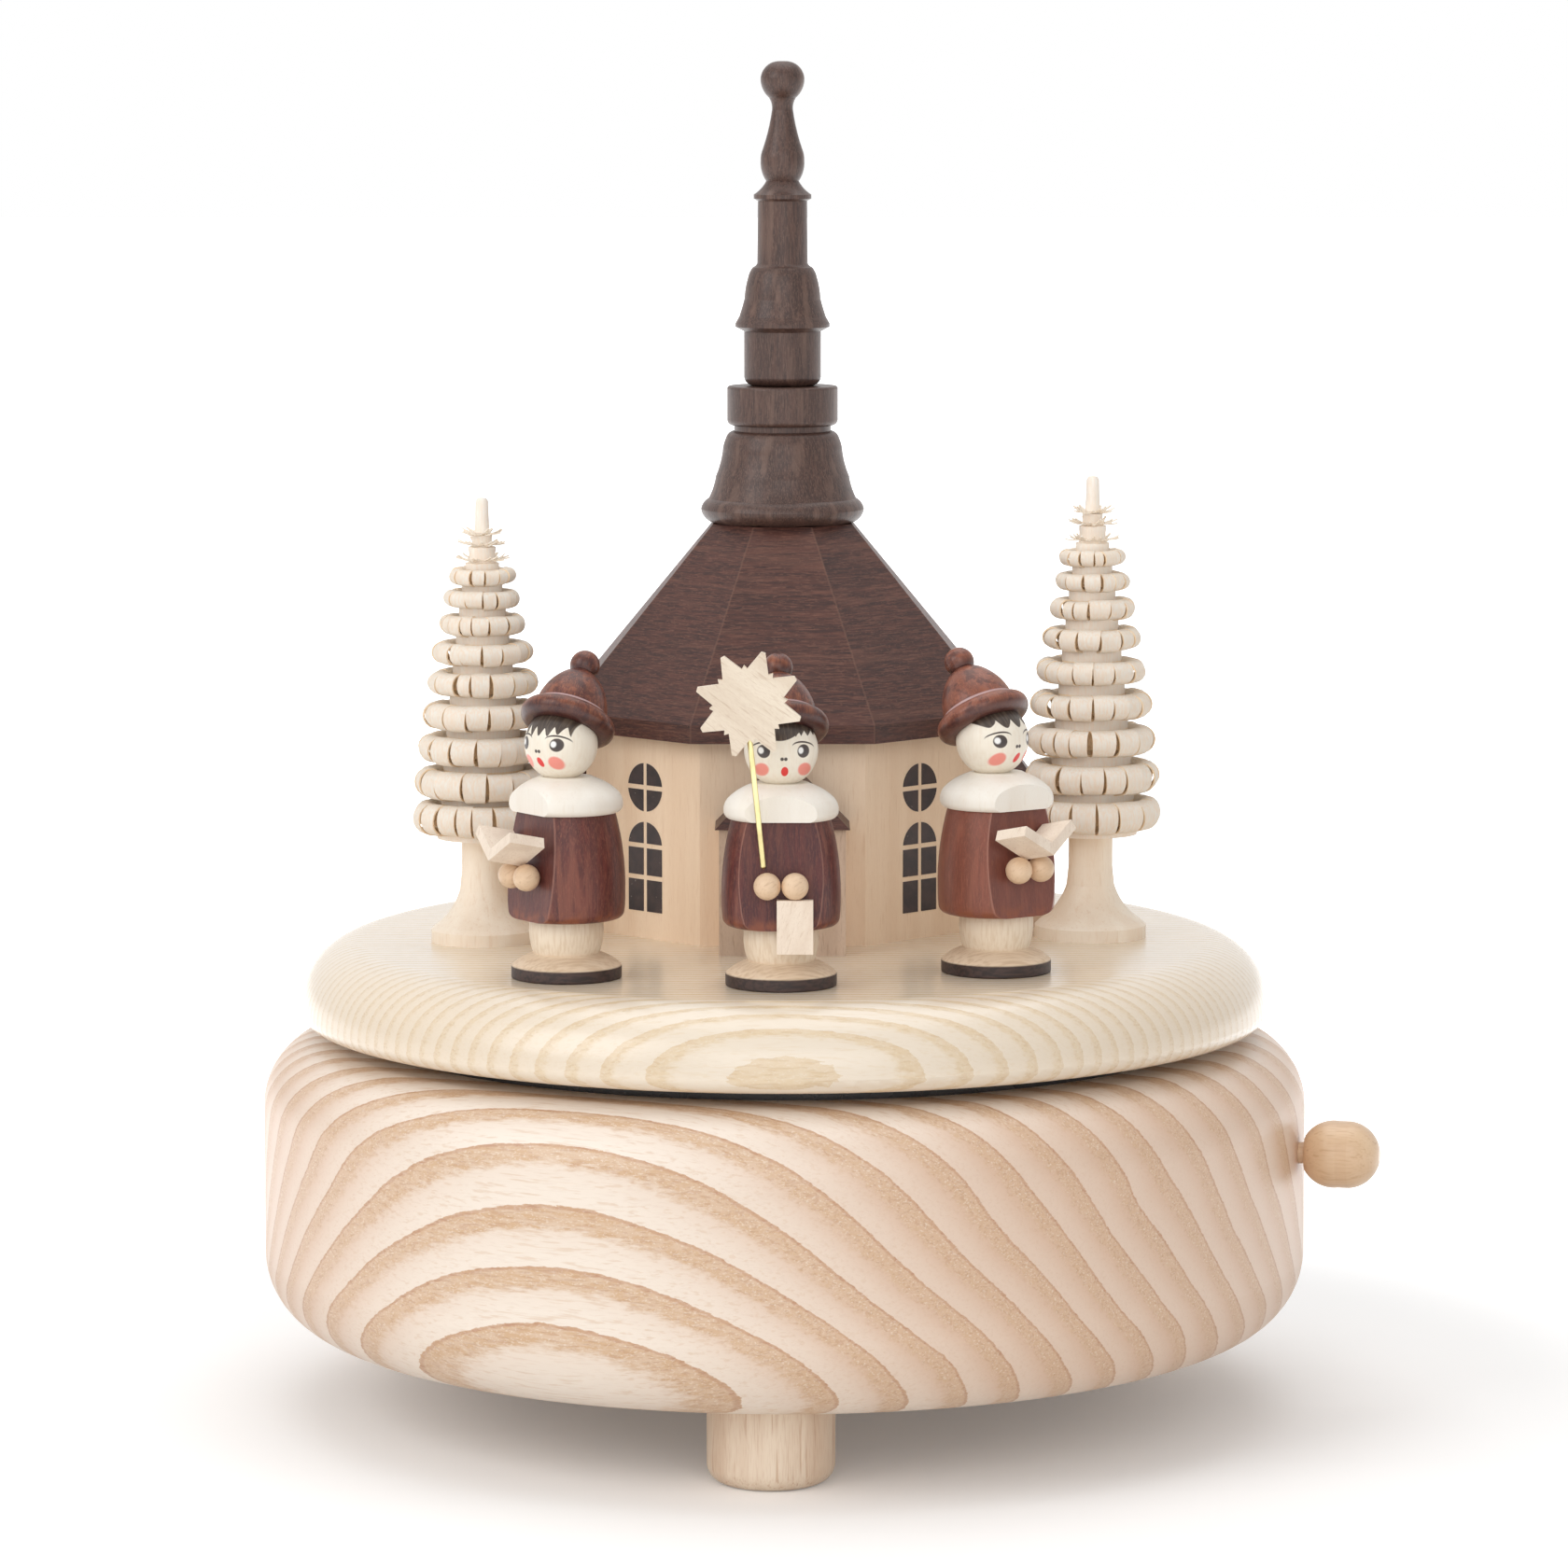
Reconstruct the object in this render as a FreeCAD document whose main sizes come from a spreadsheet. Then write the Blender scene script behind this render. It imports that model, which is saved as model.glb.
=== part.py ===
import FreeCAD, Part
import math
import os
import Sketcher

Vector = FreeCAD.Vector
Rotation = FreeCAD.Rotation

# Driving dimensions in millimetres and degrees, heights counted from the floor
SIZES = {
    # turned box
    "body_radius": 65.5,
    "body_bottom": 10.5,
    "body_top": 47.0,
    "body_low_round": 9.5,
    "body_top_round": 8.5,
    "cavity_gap": 1.7,
    "cavity_roof": 6.0,
    "ledge_width": 3.8,
    "recess_depth": 6.0,
    "fit_gap": 0.05,
    "loose_gap": 0.3,
    # dowel feet
    "foot_radius": 7.7,
    "foot_distance": 46.0,
    "foot_round": 2.3,
    "foot_tenon_radius": 4.0,
    "foot_tenon_depth": 6.0,
    "foot_direction": -92.0,
    # cover under the movement
    "plate_thickness": 3.0,
    "plate_screw_radius": 0.9,
    "plate_screw_head": 1.5,
    "plate_screw_length": 5.5,
    "plate_screw_hole": 9.0,
    "plate_screw_direction": 45.0,
    "key_hole_radius": 4.0,
    # start and stop rod
    "rod_direction": -13.0,
    "rod_height": 34.0,
    "rod_radius": 1.33,
    "knob_length": 9.2,
    "knob_radius": 4.15,
    "knob_end_flat": 0.9,
    "knob_standoff": 0.8,
    "rod_inset": 2.5,
    "stop_wire_radius": 0.4,
    "stop_wire_hole": 2.0,
    # movement: bed, barrel and winding
    "bed_thickness": 2.0,
    "bed_back": 12.0,
    "bed_ear": 4.0,
    "bed_shoulder": 2.0,
    "bed_margin": 0.2,
    "bed_screw_back": 9.0,
    "bed_screw_side": 9.5,
    "bed_screw_front": 26.0,
    "movement_screw_radius": 0.9,
    "movement_screw_head": 1.7,
    "movement_screw_head_height": 1.0,
    "arbor_radius": 1.6,
    "ratchet_radius": 5.0,
    "ratchet_thickness": 1.0,
    "ratchet_tooth_depth": 0.7,
    "pawl_width": 0.9,
    "pawl_face": 0.6,
    "pawl_heel": 0.2,
    "pawl_rise": 6.2,
    "pawl_pivot": 3.4,
    "pawl_rivet_radius": 1.3,
    "key_span": 19.0,
    "key_blade": 1.6,
    "key_bottom": 2.5,
    "key_blade_height": 6.5,
    "key_corner": 2.4,
    "key_dip": 1.2,
    "key_dip_half": 3.3,
    "key_hub_radius": 3.2,
    "key_hub_height": 8.0,
    "key_hub_round": 0.6,
    "key_end": 1.0,
    "barrel_radius": 9.0,
    "barrel_bottom": 20.2,
    "barrel_height": 8.0,
    "barrel_wall": 0.8,
    "spring_band": 0.3,
    "spring_pitch": 1.1,
    "spindle_radius": 1.5,
    "spindle_flange_radius": 3.0,
    "spindle_flange": 1.0,
    # gear train
    "crown_radius": 8.0,
    "crown_face": 1.6,
    "crown_floor": 0.2,
    "crown_module": 0.5,
    "train_module": 0.3,
    "worm_module": 0.4,
    "shaft_radius": 1.0,
    "thin_arbor_radius": 0.5,
    "wheel_thickness": 1.0,
    "worm_wheel_thickness": 1.4,
    "worm_pitch_radius": 1.0,
    "worm_end_gap": 0.6,
    "train_gap": 0.6,
    "wheel_spacing": 1.0,
    "end_play": 0.8,
    "governor_drop": 30.0,
    # cylinder and comb
    "cylinder_radius": 5.0,
    "cylinder_start": 10.0,
    "cylinder_length": 14.0,
    "pin_height": 0.25,
    "pin_radius": 0.15,
    "comb_gap": 0.2,
    "comb_tooth_length": 8.5,
    "comb_back": 5.0,
    "comb_thickness": 1.0,
    "comb_slot": 0.22,
    "comb_screw_length": 5.0,
    # bridge, governor and fan
    "bridge_reach": 12.8,
    "bridge_plate": 1.5,
    "bridge_width": 8.0,
    "bridge_leg": 1.6,
    "bridge_foot": 5.0,
    "lug_setback": 5.0,
    "lug_thickness": 1.2,
    "lug_width": 5.0,
    "lug_margin": 2.2,
    "frame_plate": 0.8,
    "frame_floor": 1.0,
    "frame_edge": 2.2,
    "frame_margin": 2.4,
    "frame_post_inset": 1.2,
    "frame_post_width": 2.2,
    "frame_post_edge": 0.8,
    "frame_post_top": 1.2,
    "frame_lug_reach": 1.3,
    "frame_lug_back": 1.5,
    "frame_lug_width": 2.9,
    "fan_radius": 3.8,
    "fan_height": 2.8,
    "fan_blade": 0.3,
    "fan_hub_wall": 0.6,
    "fan_sweep_gap": 0.3,
    # spindle bush, slide ring and hub
    "bush_radius": 3.0,
    "bush_flange_radius": 5.5,
    "bush_flange": 0.5,
    "ring_inner": 45.0,
    "ring_outer": 52.0,
    "ring_gap": 0.1,
    "hub_radius": 9.0,
    "hub_plate": 1.0,
    "hub_sleeve_radius": 3.0,
    "hub_sleeve_height": 7.0,
    "hub_screw_distance": 6.1,
    "hub_screw_length": 6.0,
    # turntable
    "table_radius": 60.8,
    "table_bottom": 49.0,
    "table_top": 59.0,
    "table_low_round": 1.8,
    "table_top_round": 8.0,
    # church
    "church_side": -0.25,
    "church_back": 16.0,
    "wall_apothem": 24.8,
    "wall_top": 84.6,
    "eave_apothem": 27.5,
    "eave_height": 2.3,
    "roof_top_apothem": 8.85,
    "roof_top": 110.0,
    "porch_width": 15.6,
    "porch_reach": 8.6,
    "porch_top": 74.7,
    "porch_roof_half": 8.3,
    "porch_roof_reach": 9.2,
    "porch_ridge_height": 8.5,
    "porch_ridge_reach": 3.3,
    # spire, as radii and lengths of its turned stretches
    "bell_foot_radius": 10.4,
    "bell_height": 12.4,
    "spigot_radius": 2.0,
    "spigot_length": 3.0,
    "disc_radius": 7.05,
    "disc_height": 5.0,
    "drum_radius": 4.9,
    "drum_height": 6.9,
    "drum_lip_radius": 6.0,
    "skirt_height": 8.6,
    "skirt_top_radius": 3.8,
    "stem_radius": 3.12,
    "stem_height": 7.9,
    "stem_lip_radius": 3.65,
    "stem_lip_height": 2.5,
    "pear_waist_radius": 2.07,
    "pear_radius": 2.77,
    "pear_height": 9.0,
    "neck_radius": 1.32,
    "finial_neck_height": 1.5,
    "finial_ball_height": 4.6,
    "finial_ball_radius": 2.77,
    "finial_ball_flat": 0.5,
    # shaving trees
    "right_tree_x": 38.5,
    "right_tree_y": 0.4,
    "right_tree_foot": 7.0,
    "right_tree_rise": 58.0,
    "left_tree_x": -37.6,
    "left_tree_y": -3.8,
    "left_tree_foot": 6.6,
    "left_tree_rise": 55.6,
    "trunk_radius": 2.76,
    "trunk_height": 13.0,
    "tree_stub_radius": 0.87,
    "tree_stub_length": 4.2,
    "tree_core_low": 5.5,
    "tree_core_high": 2.0,
    "tree_ring_low": 8.6,
    "tree_ring_high": 2.9,
    "tree_ring_first": 2.7,
    # carol singers
    "left_singer_x": -26.2,
    "left_singer_y": -34.2,
    "left_singer_turn": -55.0,
    "left_hand_height": 12.7,
    "left_book_turn": -62.0,
    "left_head_aside": -0.55,
    "left_hat_turn": -28.0,
    "left_hat_tilt": 33.0,
    "centre_singer_x": -0.4,
    "centre_singer_y": -40.4,
    "centre_singer_turn": 0.0,
    "centre_hand_height": 12.7,
    "centre_head_aside": 0.0,
    "centre_hat_turn": 4.0,
    "centre_hat_tilt": 30.0,
    "right_singer_x": 25.6,
    "right_singer_y": -29.5,
    "right_singer_turn": 35.0,
    "right_hand_height": 13.1,
    "right_book_turn": 48.0,
    "right_head_aside": -0.56,
    "right_hat_turn": 42.0,
    "right_hat_tilt": 33.0,
    "singer_foot_radius": 6.65,
    "singer_foot_ring": 1.5,
    "singer_foot_height": 3.0,
    "singer_ankle_radius": 4.0,
    "singer_leg_radius": 4.5,
    "coat_bottom": 7.2,
    "coat_radius": 7.1,
    "coat_top_radius": 5.9,
    "collar_bottom": 20.1,
    "collar_radius": 6.85,
    "collar_height": 4.2,
    "collar_neck_radius": 3.2,
    "front_flat": 1.5,
    "head_radius": 4.4,
    "head_seat": 0.5,
    "hat_seat": 1.7,
    "hat_brim_radius": 5.8,
    "hat_brim_height": 2.6,
    "hat_crease": 0.1,
    "hat_crease_depth": 0.4,
    "hat_dome_height": 5.9,
    "pompom_radius": 1.8,
    "pompom_rise": 0.85,
    "pompom_neck": 1.4,
    "hand_radius": 1.62,
    "hand_spacing": 0.04,
    "book_board": 5.6,
    "book_thickness": 1.3,
    "book_depth": 4.6,
    "book_opening": 30.0,
    "book_overhang": 1.9,
    "book_tilt": 12.0,
    "book_gap": 0.3,
    "booklet_width": 4.3,
    "booklet_height": 6.4,
    "booklet_thickness": 1.2,
    "star_thickness": 1.3,
    "star_tip": 6.3,
    "star_tip_width": 0.5,
    "star_first_tip": 29.0,
    "star_small_tip": 4.6,
    "star_waist": 4.15,
    "star_height": 34.6,
    "star_reach": 9.1,
    "star_wire_radius": 0.33,
    "star_wire_bend": 0.8,
    "star_wire_seat": 1.2,
    "star_wire_depth": 1.4,
    "star_wire_height": 15.0,
    "star_wire_aside": 2.1,
    "star_lean": 1.7,
}

# Counts of teeth, turns, screws and rings
CROWN_TEETH = 32
CYLINDER_PINION_TEETH = 16
CYLINDER_WHEEL_TEETH = 40
GOVERNOR_PINION_TEETH = 8
WORM_WHEEL_TEETH = 18
RATCHET_TEETH = 16
COMB_TEETH = 18
SPRING_TURNS = 5
COVER_SCREWS = 4
HUB_SCREWS = 3
WORM_TURNS = 4
TREE_RINGS = 12
STAR_TIPS = 8
FEET = 3
SIDES = 8

# Teeth in modules above and below the pitch line, and the turns from pin to pin in degrees
ADDENDUM = 0.85
DEDENDUM = 1.1
PIN_TURN = 137.5
PIN_REPEAT = 170.0

doc = FreeCAD.newDocument("music_box")
sheet = doc.addObject("Spreadsheet::Sheet", "Sizes")
for row, (alias, size) in enumerate(SIZES.items(), start=1):
    sheet.set("A%d" % row, alias)
    sheet.set("B%d" % row, str(size))
    sheet.setAlias("B%d" % row, alias)
doc.recompute()

parts = {}


class Dim:
    """A size that keeps the sheet formula it comes from."""

    def __init__(self, value, formula):
        self.value = value
        self.formula = formula

    def joined(self, other, sign, value):
        return Dim(value, "(%s %s %s)" % (self.formula, sign, other.formula))

    def __add__(self, other):
        other = dim(other)
        return self.joined(other, "+", self.value + other.value)

    def __sub__(self, other):
        other = dim(other)
        return self.joined(other, "-", self.value - other.value)

    def __mul__(self, other):
        other = dim(other)
        return self.joined(other, "*", self.value * other.value)

    def __truediv__(self, other):
        other = dim(other)
        return self.joined(other, "/", self.value / other.value)

    def __radd__(self, other):
        return dim(other) + self

    def __rsub__(self, other):
        return dim(other) - self

    def __rmul__(self, other):
        return dim(other) * self

    def __neg__(self):
        return dim(0) - self

    def __float__(self):
        return float(self.value)


def dim(size):
    """Any number as a Dim."""
    return size if isinstance(size, Dim) else Dim(float(size), repr(float(size)))


def diagonal(along, across):
    """The long side of a right-angled triangle."""
    along, across = dim(along), dim(across)
    value = math.hypot(float(along), float(across))
    return Dim(value, "hypot(%s; %s)" % (along.formula, across.formula))


def remaining_side(longest, known):
    """The third side of a right-angled triangle."""
    longest, known = dim(longest), dim(known)
    value = math.sqrt(float(longest) ** 2 - float(known) ** 2)
    return Dim(value, "sqrt(%s ^ 2 - %s ^ 2)" % (longest.formula, known.formula))


def larger(first, second):
    first, second = dim(first), dim(second)
    value = max(float(first), float(second))
    return Dim(value, "max(%s; %s)" % (first.formula, second.formula))


class Sheet:
    """Reads a named size of the sheet as a Dim."""

    def __getattr__(self, alias):
        return Dim(SIZES[alias], "Sizes." + alias)


s = Sheet()


def bind(thing, prop, size):
    """Give a property its size and tie it to the sheet."""
    size = dim(size)
    if "." not in prop:
        setattr(thing, prop, size.value)
    thing.setExpression(prop, size.formula)


def put(thing, x=0, y=0, z=0, rotation=None):
    """Place a finished object; sizes stay tied to the sheet."""
    spot = Vector(float(dim(x)), float(dim(y)), float(dim(z)))
    thing.Placement = FreeCAD.Placement(spot, rotation or Rotation())
    for axis, size in zip("xyz", (x, y, z)):
        if isinstance(size, Dim):
            thing.setExpression("Placement.Base." + axis, size.formula)
    return thing


def about_z(angle):
    return Rotation(Vector(0, 0, 1), float(dim(angle)))


def origin_plane(body, role):
    return [item for item in body.Origin.OriginFeatures if item.Role == role][0]


def arc_between(start, end, bend):
    """The short arc from start to end; a positive bend bulges to the right of the walk."""
    chord = end - start
    middle = (start + end) * 0.5
    rise = math.sqrt(max(bend * bend - (chord.Length * 0.5) ** 2, 0.0))
    left = Vector(-chord.y, chord.x, 0).normalize()
    centre = middle + left * (rise if bend > 0 else -rise)
    first, last = (start, end) if bend > 0 else (end, start)
    angles = [math.atan2(p.y - centre.y, p.x - centre.x) for p in (first, last)]
    circle = Part.Circle(centre, Vector(0, 0, 1), abs(bend))
    return Part.ArcOfCircle(circle, angles[0], angles[1])


def draw(sketch, outline):
    """Draw a closed outline of (across, up) corners, each tied to the sheet.

    A corner's third entry is the radius of the arc that ends there, negative where it is hollow.
    """
    corners = [(dim(corner[0]), dim(corner[1])) for corner in outline]
    bends = [dim(corner[2]) if len(corner) > 2 else None for corner in outline]
    spots = [Vector(float(a), float(b), 0) for a, b in corners]
    starts = []
    ends = []
    for index, spot in enumerate(spots):
        following = (index + 1) % len(spots)
        bend = bends[following]
        if bend is None:
            edge = sketch.addGeometry(Part.LineSegment(spot, spots[following]), False)
            starts.append((edge, 1))
            ends.append((edge, 2))
            continue
        edge = sketch.addGeometry(arc_between(spot, spots[following], float(bend)), False)
        hollow = float(bend) < 0
        starts.append((edge, 2 if hollow else 1))
        ends.append((edge, 1 if hollow else 2))
        radius = -bend if hollow else bend
        rule = sketch.addConstraint(Sketcher.Constraint("Radius", edge, float(radius)))
        sketch.setExpression("Constraints[%d]" % rule, radius.formula)
    for index, (across, up) in enumerate(corners):
        edge, corner = starts[index]
        before = ends[index - 1]
        sketch.addConstraint(Sketcher.Constraint("Coincident", before[0], before[1], edge, corner))
        for kind, size, axis in (("DistanceX", across, -2), ("DistanceY", up, -1)):
            if float(size) == 0.0:
                sketch.addConstraint(Sketcher.Constraint("PointOnObject", edge, corner, axis))
                continue
            rule = sketch.addConstraint(Sketcher.Constraint(kind, -1, 1, edge, corner, float(size)))
            sketch.setExpression("Constraints[%d]" % rule, size.formula)


def new_body(label):
    body = doc.addObject("PartDesign::Body", label)
    body.Label = label
    return body


def add_sketch(body, role, outline, lift=None):
    sketch = body.newObject("Sketcher::SketchObject", body.Label + "_outline")
    sketch.AttachmentSupport = [(origin_plane(body, role), "")]
    sketch.MapMode = "FlatFace"
    if lift is not None:
        sketch.AttachmentOffset = FreeCAD.Placement(Vector(0, 0, float(dim(lift))), Rotation())
        sketch.setExpression("AttachmentOffset.Base.z", dim(lift).formula)
    draw(sketch, outline)
    return sketch


def turned(label, outline):
    """A body turned about the upright axis from its (radius, height) outline."""
    body = new_body(label)
    sketch = add_sketch(body, "XZ_Plane", outline)
    feature = body.newObject("PartDesign::Revolution", label + "_turned")
    feature.Profile = sketch
    feature.ReferenceAxis = (sketch, ["V_Axis"])
    feature.Angle = 360
    return body


def plate(label, outline, low, thickness):
    """A body padded upward from its (x, y) outline."""
    body = new_body(label)
    sketch = add_sketch(body, "XY_Plane", outline, low)
    feature = body.newObject("PartDesign::Pad", label + "_pad")
    feature.Profile = sketch
    bind(feature, "Length", thickness)
    return body


def upright_plate(label, outline, thickness):
    """A body padded to both sides of the upright plane from its (x, z) outline."""
    body = new_body(label)
    sketch = add_sketch(body, "XZ_Plane", outline)
    feature = body.newObject("PartDesign::Pad", label + "_pad")
    feature.Profile = sketch
    feature.SideType = "Symmetric"
    bind(feature, "Length", thickness)
    return body


def rod(name, radius, height, x=0, y=0, z=0, rotation=None):
    """A plain cylinder, used as a pin or as the tool for a hole."""
    item = doc.addObject("Part::Cylinder", name)
    bind(item, "Radius", radius)
    bind(item, "Height", height)
    return put(item, x, y, z, rotation)


def block(name, length, width, height, x=0, y=0, z=0, rotation=None):
    """A plain box that starts at its lowest corner."""
    item = doc.addObject("Part::Box", name)
    bind(item, "Length", length)
    bind(item, "Width", width)
    bind(item, "Height", height)
    return put(item, x, y, z, rotation)


def ball(name, radius, x=0, y=0, z=0):
    item = doc.addObject("Part::Sphere", name)
    bind(item, "Radius", radius)
    return put(item, x, y, z)


def fused(name, items):
    item = doc.addObject("Part::MultiFuse", name)
    item.Shapes = items
    item.Refine = True
    return item


def group(name, items):
    """Separate solids kept side by side in one object."""
    item = doc.addObject("Part::Compound", name)
    item.Links = items
    return item


def cut(name, base, tools):
    """The base with every tool taken out of it."""
    item = doc.addObject("Part::Cut", name)
    item.Base = base
    item.Tool = tools[0] if len(tools) == 1 else group(name + "_tools", tools)
    return item


def shaped(name, shape):
    item = doc.addObject("Part::Feature", name)
    item.Shape = shape
    return item


def keep(label, item):
    """Register a finished sub-part under the name of its file."""
    item.Label = label
    parts[label] = item
    return item


def ring_places(circle, count, first=0.0):
    """Points at equal steps round the upright axis."""
    radius = float(dim(circle))
    turns = [math.radians(float(dim(first)) + 360.0 * step / count) for step in range(count)]
    return [(radius * math.cos(turn), radius * math.sin(turn)) for turn in turns]


def octagon(apothem):
    """The corners of a regular octagon with a flat side to the front."""
    half_side = apothem * math.tan(math.pi / SIDES)
    return [
        (half_side, -apothem),
        (apothem, -half_side),
        (apothem, half_side),
        (half_side, apothem),
        (-half_side, apothem),
        (-apothem, half_side),
        (-apothem, -half_side),
        (-half_side, -apothem),
    ]


# Places in the movement, worked out from the driving sizes
ledge = s.body_bottom + s.recess_depth
cavity_top = s.body_top - s.cavity_roof
bed_top = ledge + s.bed_thickness
ratchet_bottom = bed_top + s.loose_gap
barrel_top = s.barrel_bottom + s.barrel_height
crown_pitch = barrel_top + s.crown_floor + s.crown_module * 1.25
pinion_pitch_radius = s.crown_module * CYLINDER_PINION_TEETH / 2
cylinder_axis = crown_pitch + pinion_pitch_radius
cylinder_end = s.cylinder_start + s.cylinder_length
train_wheel_radius = s.train_module * CYLINDER_WHEEL_TEETH / 2
train_pinion_radius = s.train_module * GOVERNOR_PINION_TEETH / 2
train_distance = train_wheel_radius + train_pinion_radius
drop_turn = math.radians(float(s.governor_drop))
governor_side = train_distance * -math.cos(drop_turn)
governor_axis = cylinder_axis - train_distance * math.sin(drop_turn)
worm_wheel_radius = s.worm_module * WORM_WHEEL_TEETH / 2
worm_side = governor_side - worm_wheel_radius - s.worm_pitch_radius
inner_post = cylinder_end - s.frame_post_inset
train_wheel_start = cylinder_end + s.train_gap
worm_wheel_start = train_wheel_start + s.wheel_thickness + s.wheel_spacing
worm_along = worm_wheel_start + s.worm_wheel_thickness / 2
outer_plate = worm_wheel_start + s.worm_wheel_thickness + s.end_play
worm_reach = s.worm_module * math.pi * WORM_TURNS / 2
top_lug = governor_axis + worm_reach + s.worm_end_gap
bottom_lug = governor_axis - worm_reach - s.worm_end_gap - s.frame_plate
fan_bottom = top_lug + s.frame_plate + s.loose_gap
worm_bearing = math.degrees(math.atan2(float(worm_side), float(worm_along)))
movement_turn = about_z(float(s.rod_direction) - worm_bearing)
lay_down = Rotation(Vector(0, 1, 0), 90)
along_cylinder = movement_turn.multiply(lay_down)
rod_turn = about_z(s.rod_direction)
along_rod = rod_turn.multiply(lay_down)
spot_of_worm = diagonal(worm_side, worm_along)
comb_tip = s.cylinder_radius + s.pin_height + s.comb_gap
comb_heel = comb_tip + s.comb_tooth_length
comb_end = comb_heel + s.comb_back
bridge_end = s.bridge_reach - s.bridge_leg + s.bridge_foot
frame_end = outer_plate + s.frame_plate
frame_side = worm_side - s.frame_margin
bed_side = frame_side - s.bed_margin

# The hollow of the box, as wide as the movement's bed needs
bed_reach = larger(diagonal(frame_end, bed_side), diagonal(cylinder_end + s.bed_shoulder, comb_end))
cavity_radius = bed_reach + s.cavity_gap
recess_radius = cavity_radius + s.ledge_width
plate_screw_ring = cavity_radius + s.ledge_width / 2


def in_movement(item, x=0.0, y=0.0, z=0.0, rotation=None):
    """Place an item that is drawn in the movement's own directions."""
    spot = movement_turn.multVec(Vector(float(dim(x)), float(dim(y)), float(dim(z))))
    turn = rotation or Rotation()
    item.Placement = FreeCAD.Placement(spot, movement_turn.multiply(turn))
    return item


# The turned box

def make_body_shell():
    """The round box, hollowed from below, with its bores."""
    low, top = s.body_bottom, s.body_top
    solid = turned("body_turning", [
        (s.bush_radius, cavity_top),
        (cavity_radius, cavity_top),
        (cavity_radius, ledge),
        (recess_radius, ledge),
        (recess_radius, low),
        (s.body_radius - s.body_low_round, low),
        (s.body_radius, low + s.body_low_round, s.body_low_round),
        (s.body_radius, top - s.body_top_round),
        (s.body_radius - s.body_top_round, top, s.body_top_round),
        (s.bush_radius, top),
    ])
    tools = []
    for x, y in ring_places(s.foot_distance, FEET, s.foot_direction):
        tools.append(rod("foot_socket", s.foot_tenon_radius, s.foot_tenon_depth, x, y, low))
    for x, y in cover_screw_places():
        tools.append(rod("cover_screw_hole", s.plate_screw_radius, s.plate_screw_hole, x, y, low))
    inner = rod_turn.multVec(Vector(float(cavity_radius - s.rod_radius * 2), 0, float(s.rod_height)))
    bore = s.rod_radius + s.fit_gap
    tools.append(rod("rod_bore", bore, s.body_radius, inner.x, inner.y, inner.z, along_rod))
    keep("body_shell", cut("body_shell", solid, tools))


def cover_screw_places():
    return ring_places(plate_screw_ring, COVER_SCREWS, s.plate_screw_direction)


def make_feet():
    """Three dowels with rounded ends and tenons, as separate solids."""
    low = s.body_bottom
    tenon = s.foot_tenon_radius - s.fit_gap
    feet = []
    for x, y in ring_places(s.foot_distance, FEET, s.foot_direction):
        foot = turned("foot", [
            (0, 0),
            (s.foot_radius - s.foot_round, 0),
            (s.foot_radius, s.foot_round, s.foot_round),
            (s.foot_radius, low),
            (tenon, low),
            (tenon, low + s.foot_tenon_depth - s.fit_gap),
            (0, low + s.foot_tenon_depth - s.fit_gap),
        ])
        feet.append(put(foot, x, y, 0))
    keep("feet", group("feet", feet))


def make_bottom_plate():
    """The plywood cover, let into the recess against its ledge."""
    low = ledge - s.plate_thickness
    solid = turned("cover_disc", [
        (s.key_hole_radius, low),
        (recess_radius - s.loose_gap, low),
        (recess_radius - s.loose_gap, ledge),
        (s.key_hole_radius, ledge),
    ])
    tools = []
    for x, y in cover_screw_places():
        hole = s.plate_screw_radius + s.fit_gap
        tools.append(rod("cover_clearance", hole, s.plate_thickness, x, y, low))
        tools.append(countersink("cover_countersink", s.plate_screw_head, x, y, low))
    for x, y in bed_screw_places():
        spot = movement_turn.multVec(Vector(float(x), float(y), 0))
        hole = s.movement_screw_radius + s.fit_gap
        tools.append(rod("bed_clearance", hole, s.plate_thickness, spot.x, spot.y, low))
    keep("bottom_plate", cut("bottom_plate", solid, tools))


def countersink(name, radius, x, y, low):
    """The cone that a countersunk head fills."""
    item = doc.addObject("Part::Cone", name)
    bind(item, "Radius1", radius)
    bind(item, "Radius2", s.plate_screw_radius)
    bind(item, "Height", radius - s.plate_screw_radius)
    return put(item, x, y, low)


def make_cover_screws():
    """The countersunk wood screws of the cover."""
    low = ledge - s.plate_thickness
    screws = []
    for x, y in cover_screw_places():
        shank = rod("cover_screw_shank", s.plate_screw_radius, s.plate_screw_length, x, y, low)
        head = countersink("cover_screw_head", s.plate_screw_head, x, y, low)
        screws.append(fused("cover_screw", [shank, head]))
    keep("bottom_plate_screws", group("bottom_plate_screws", screws))


# The start and stop rod

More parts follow.
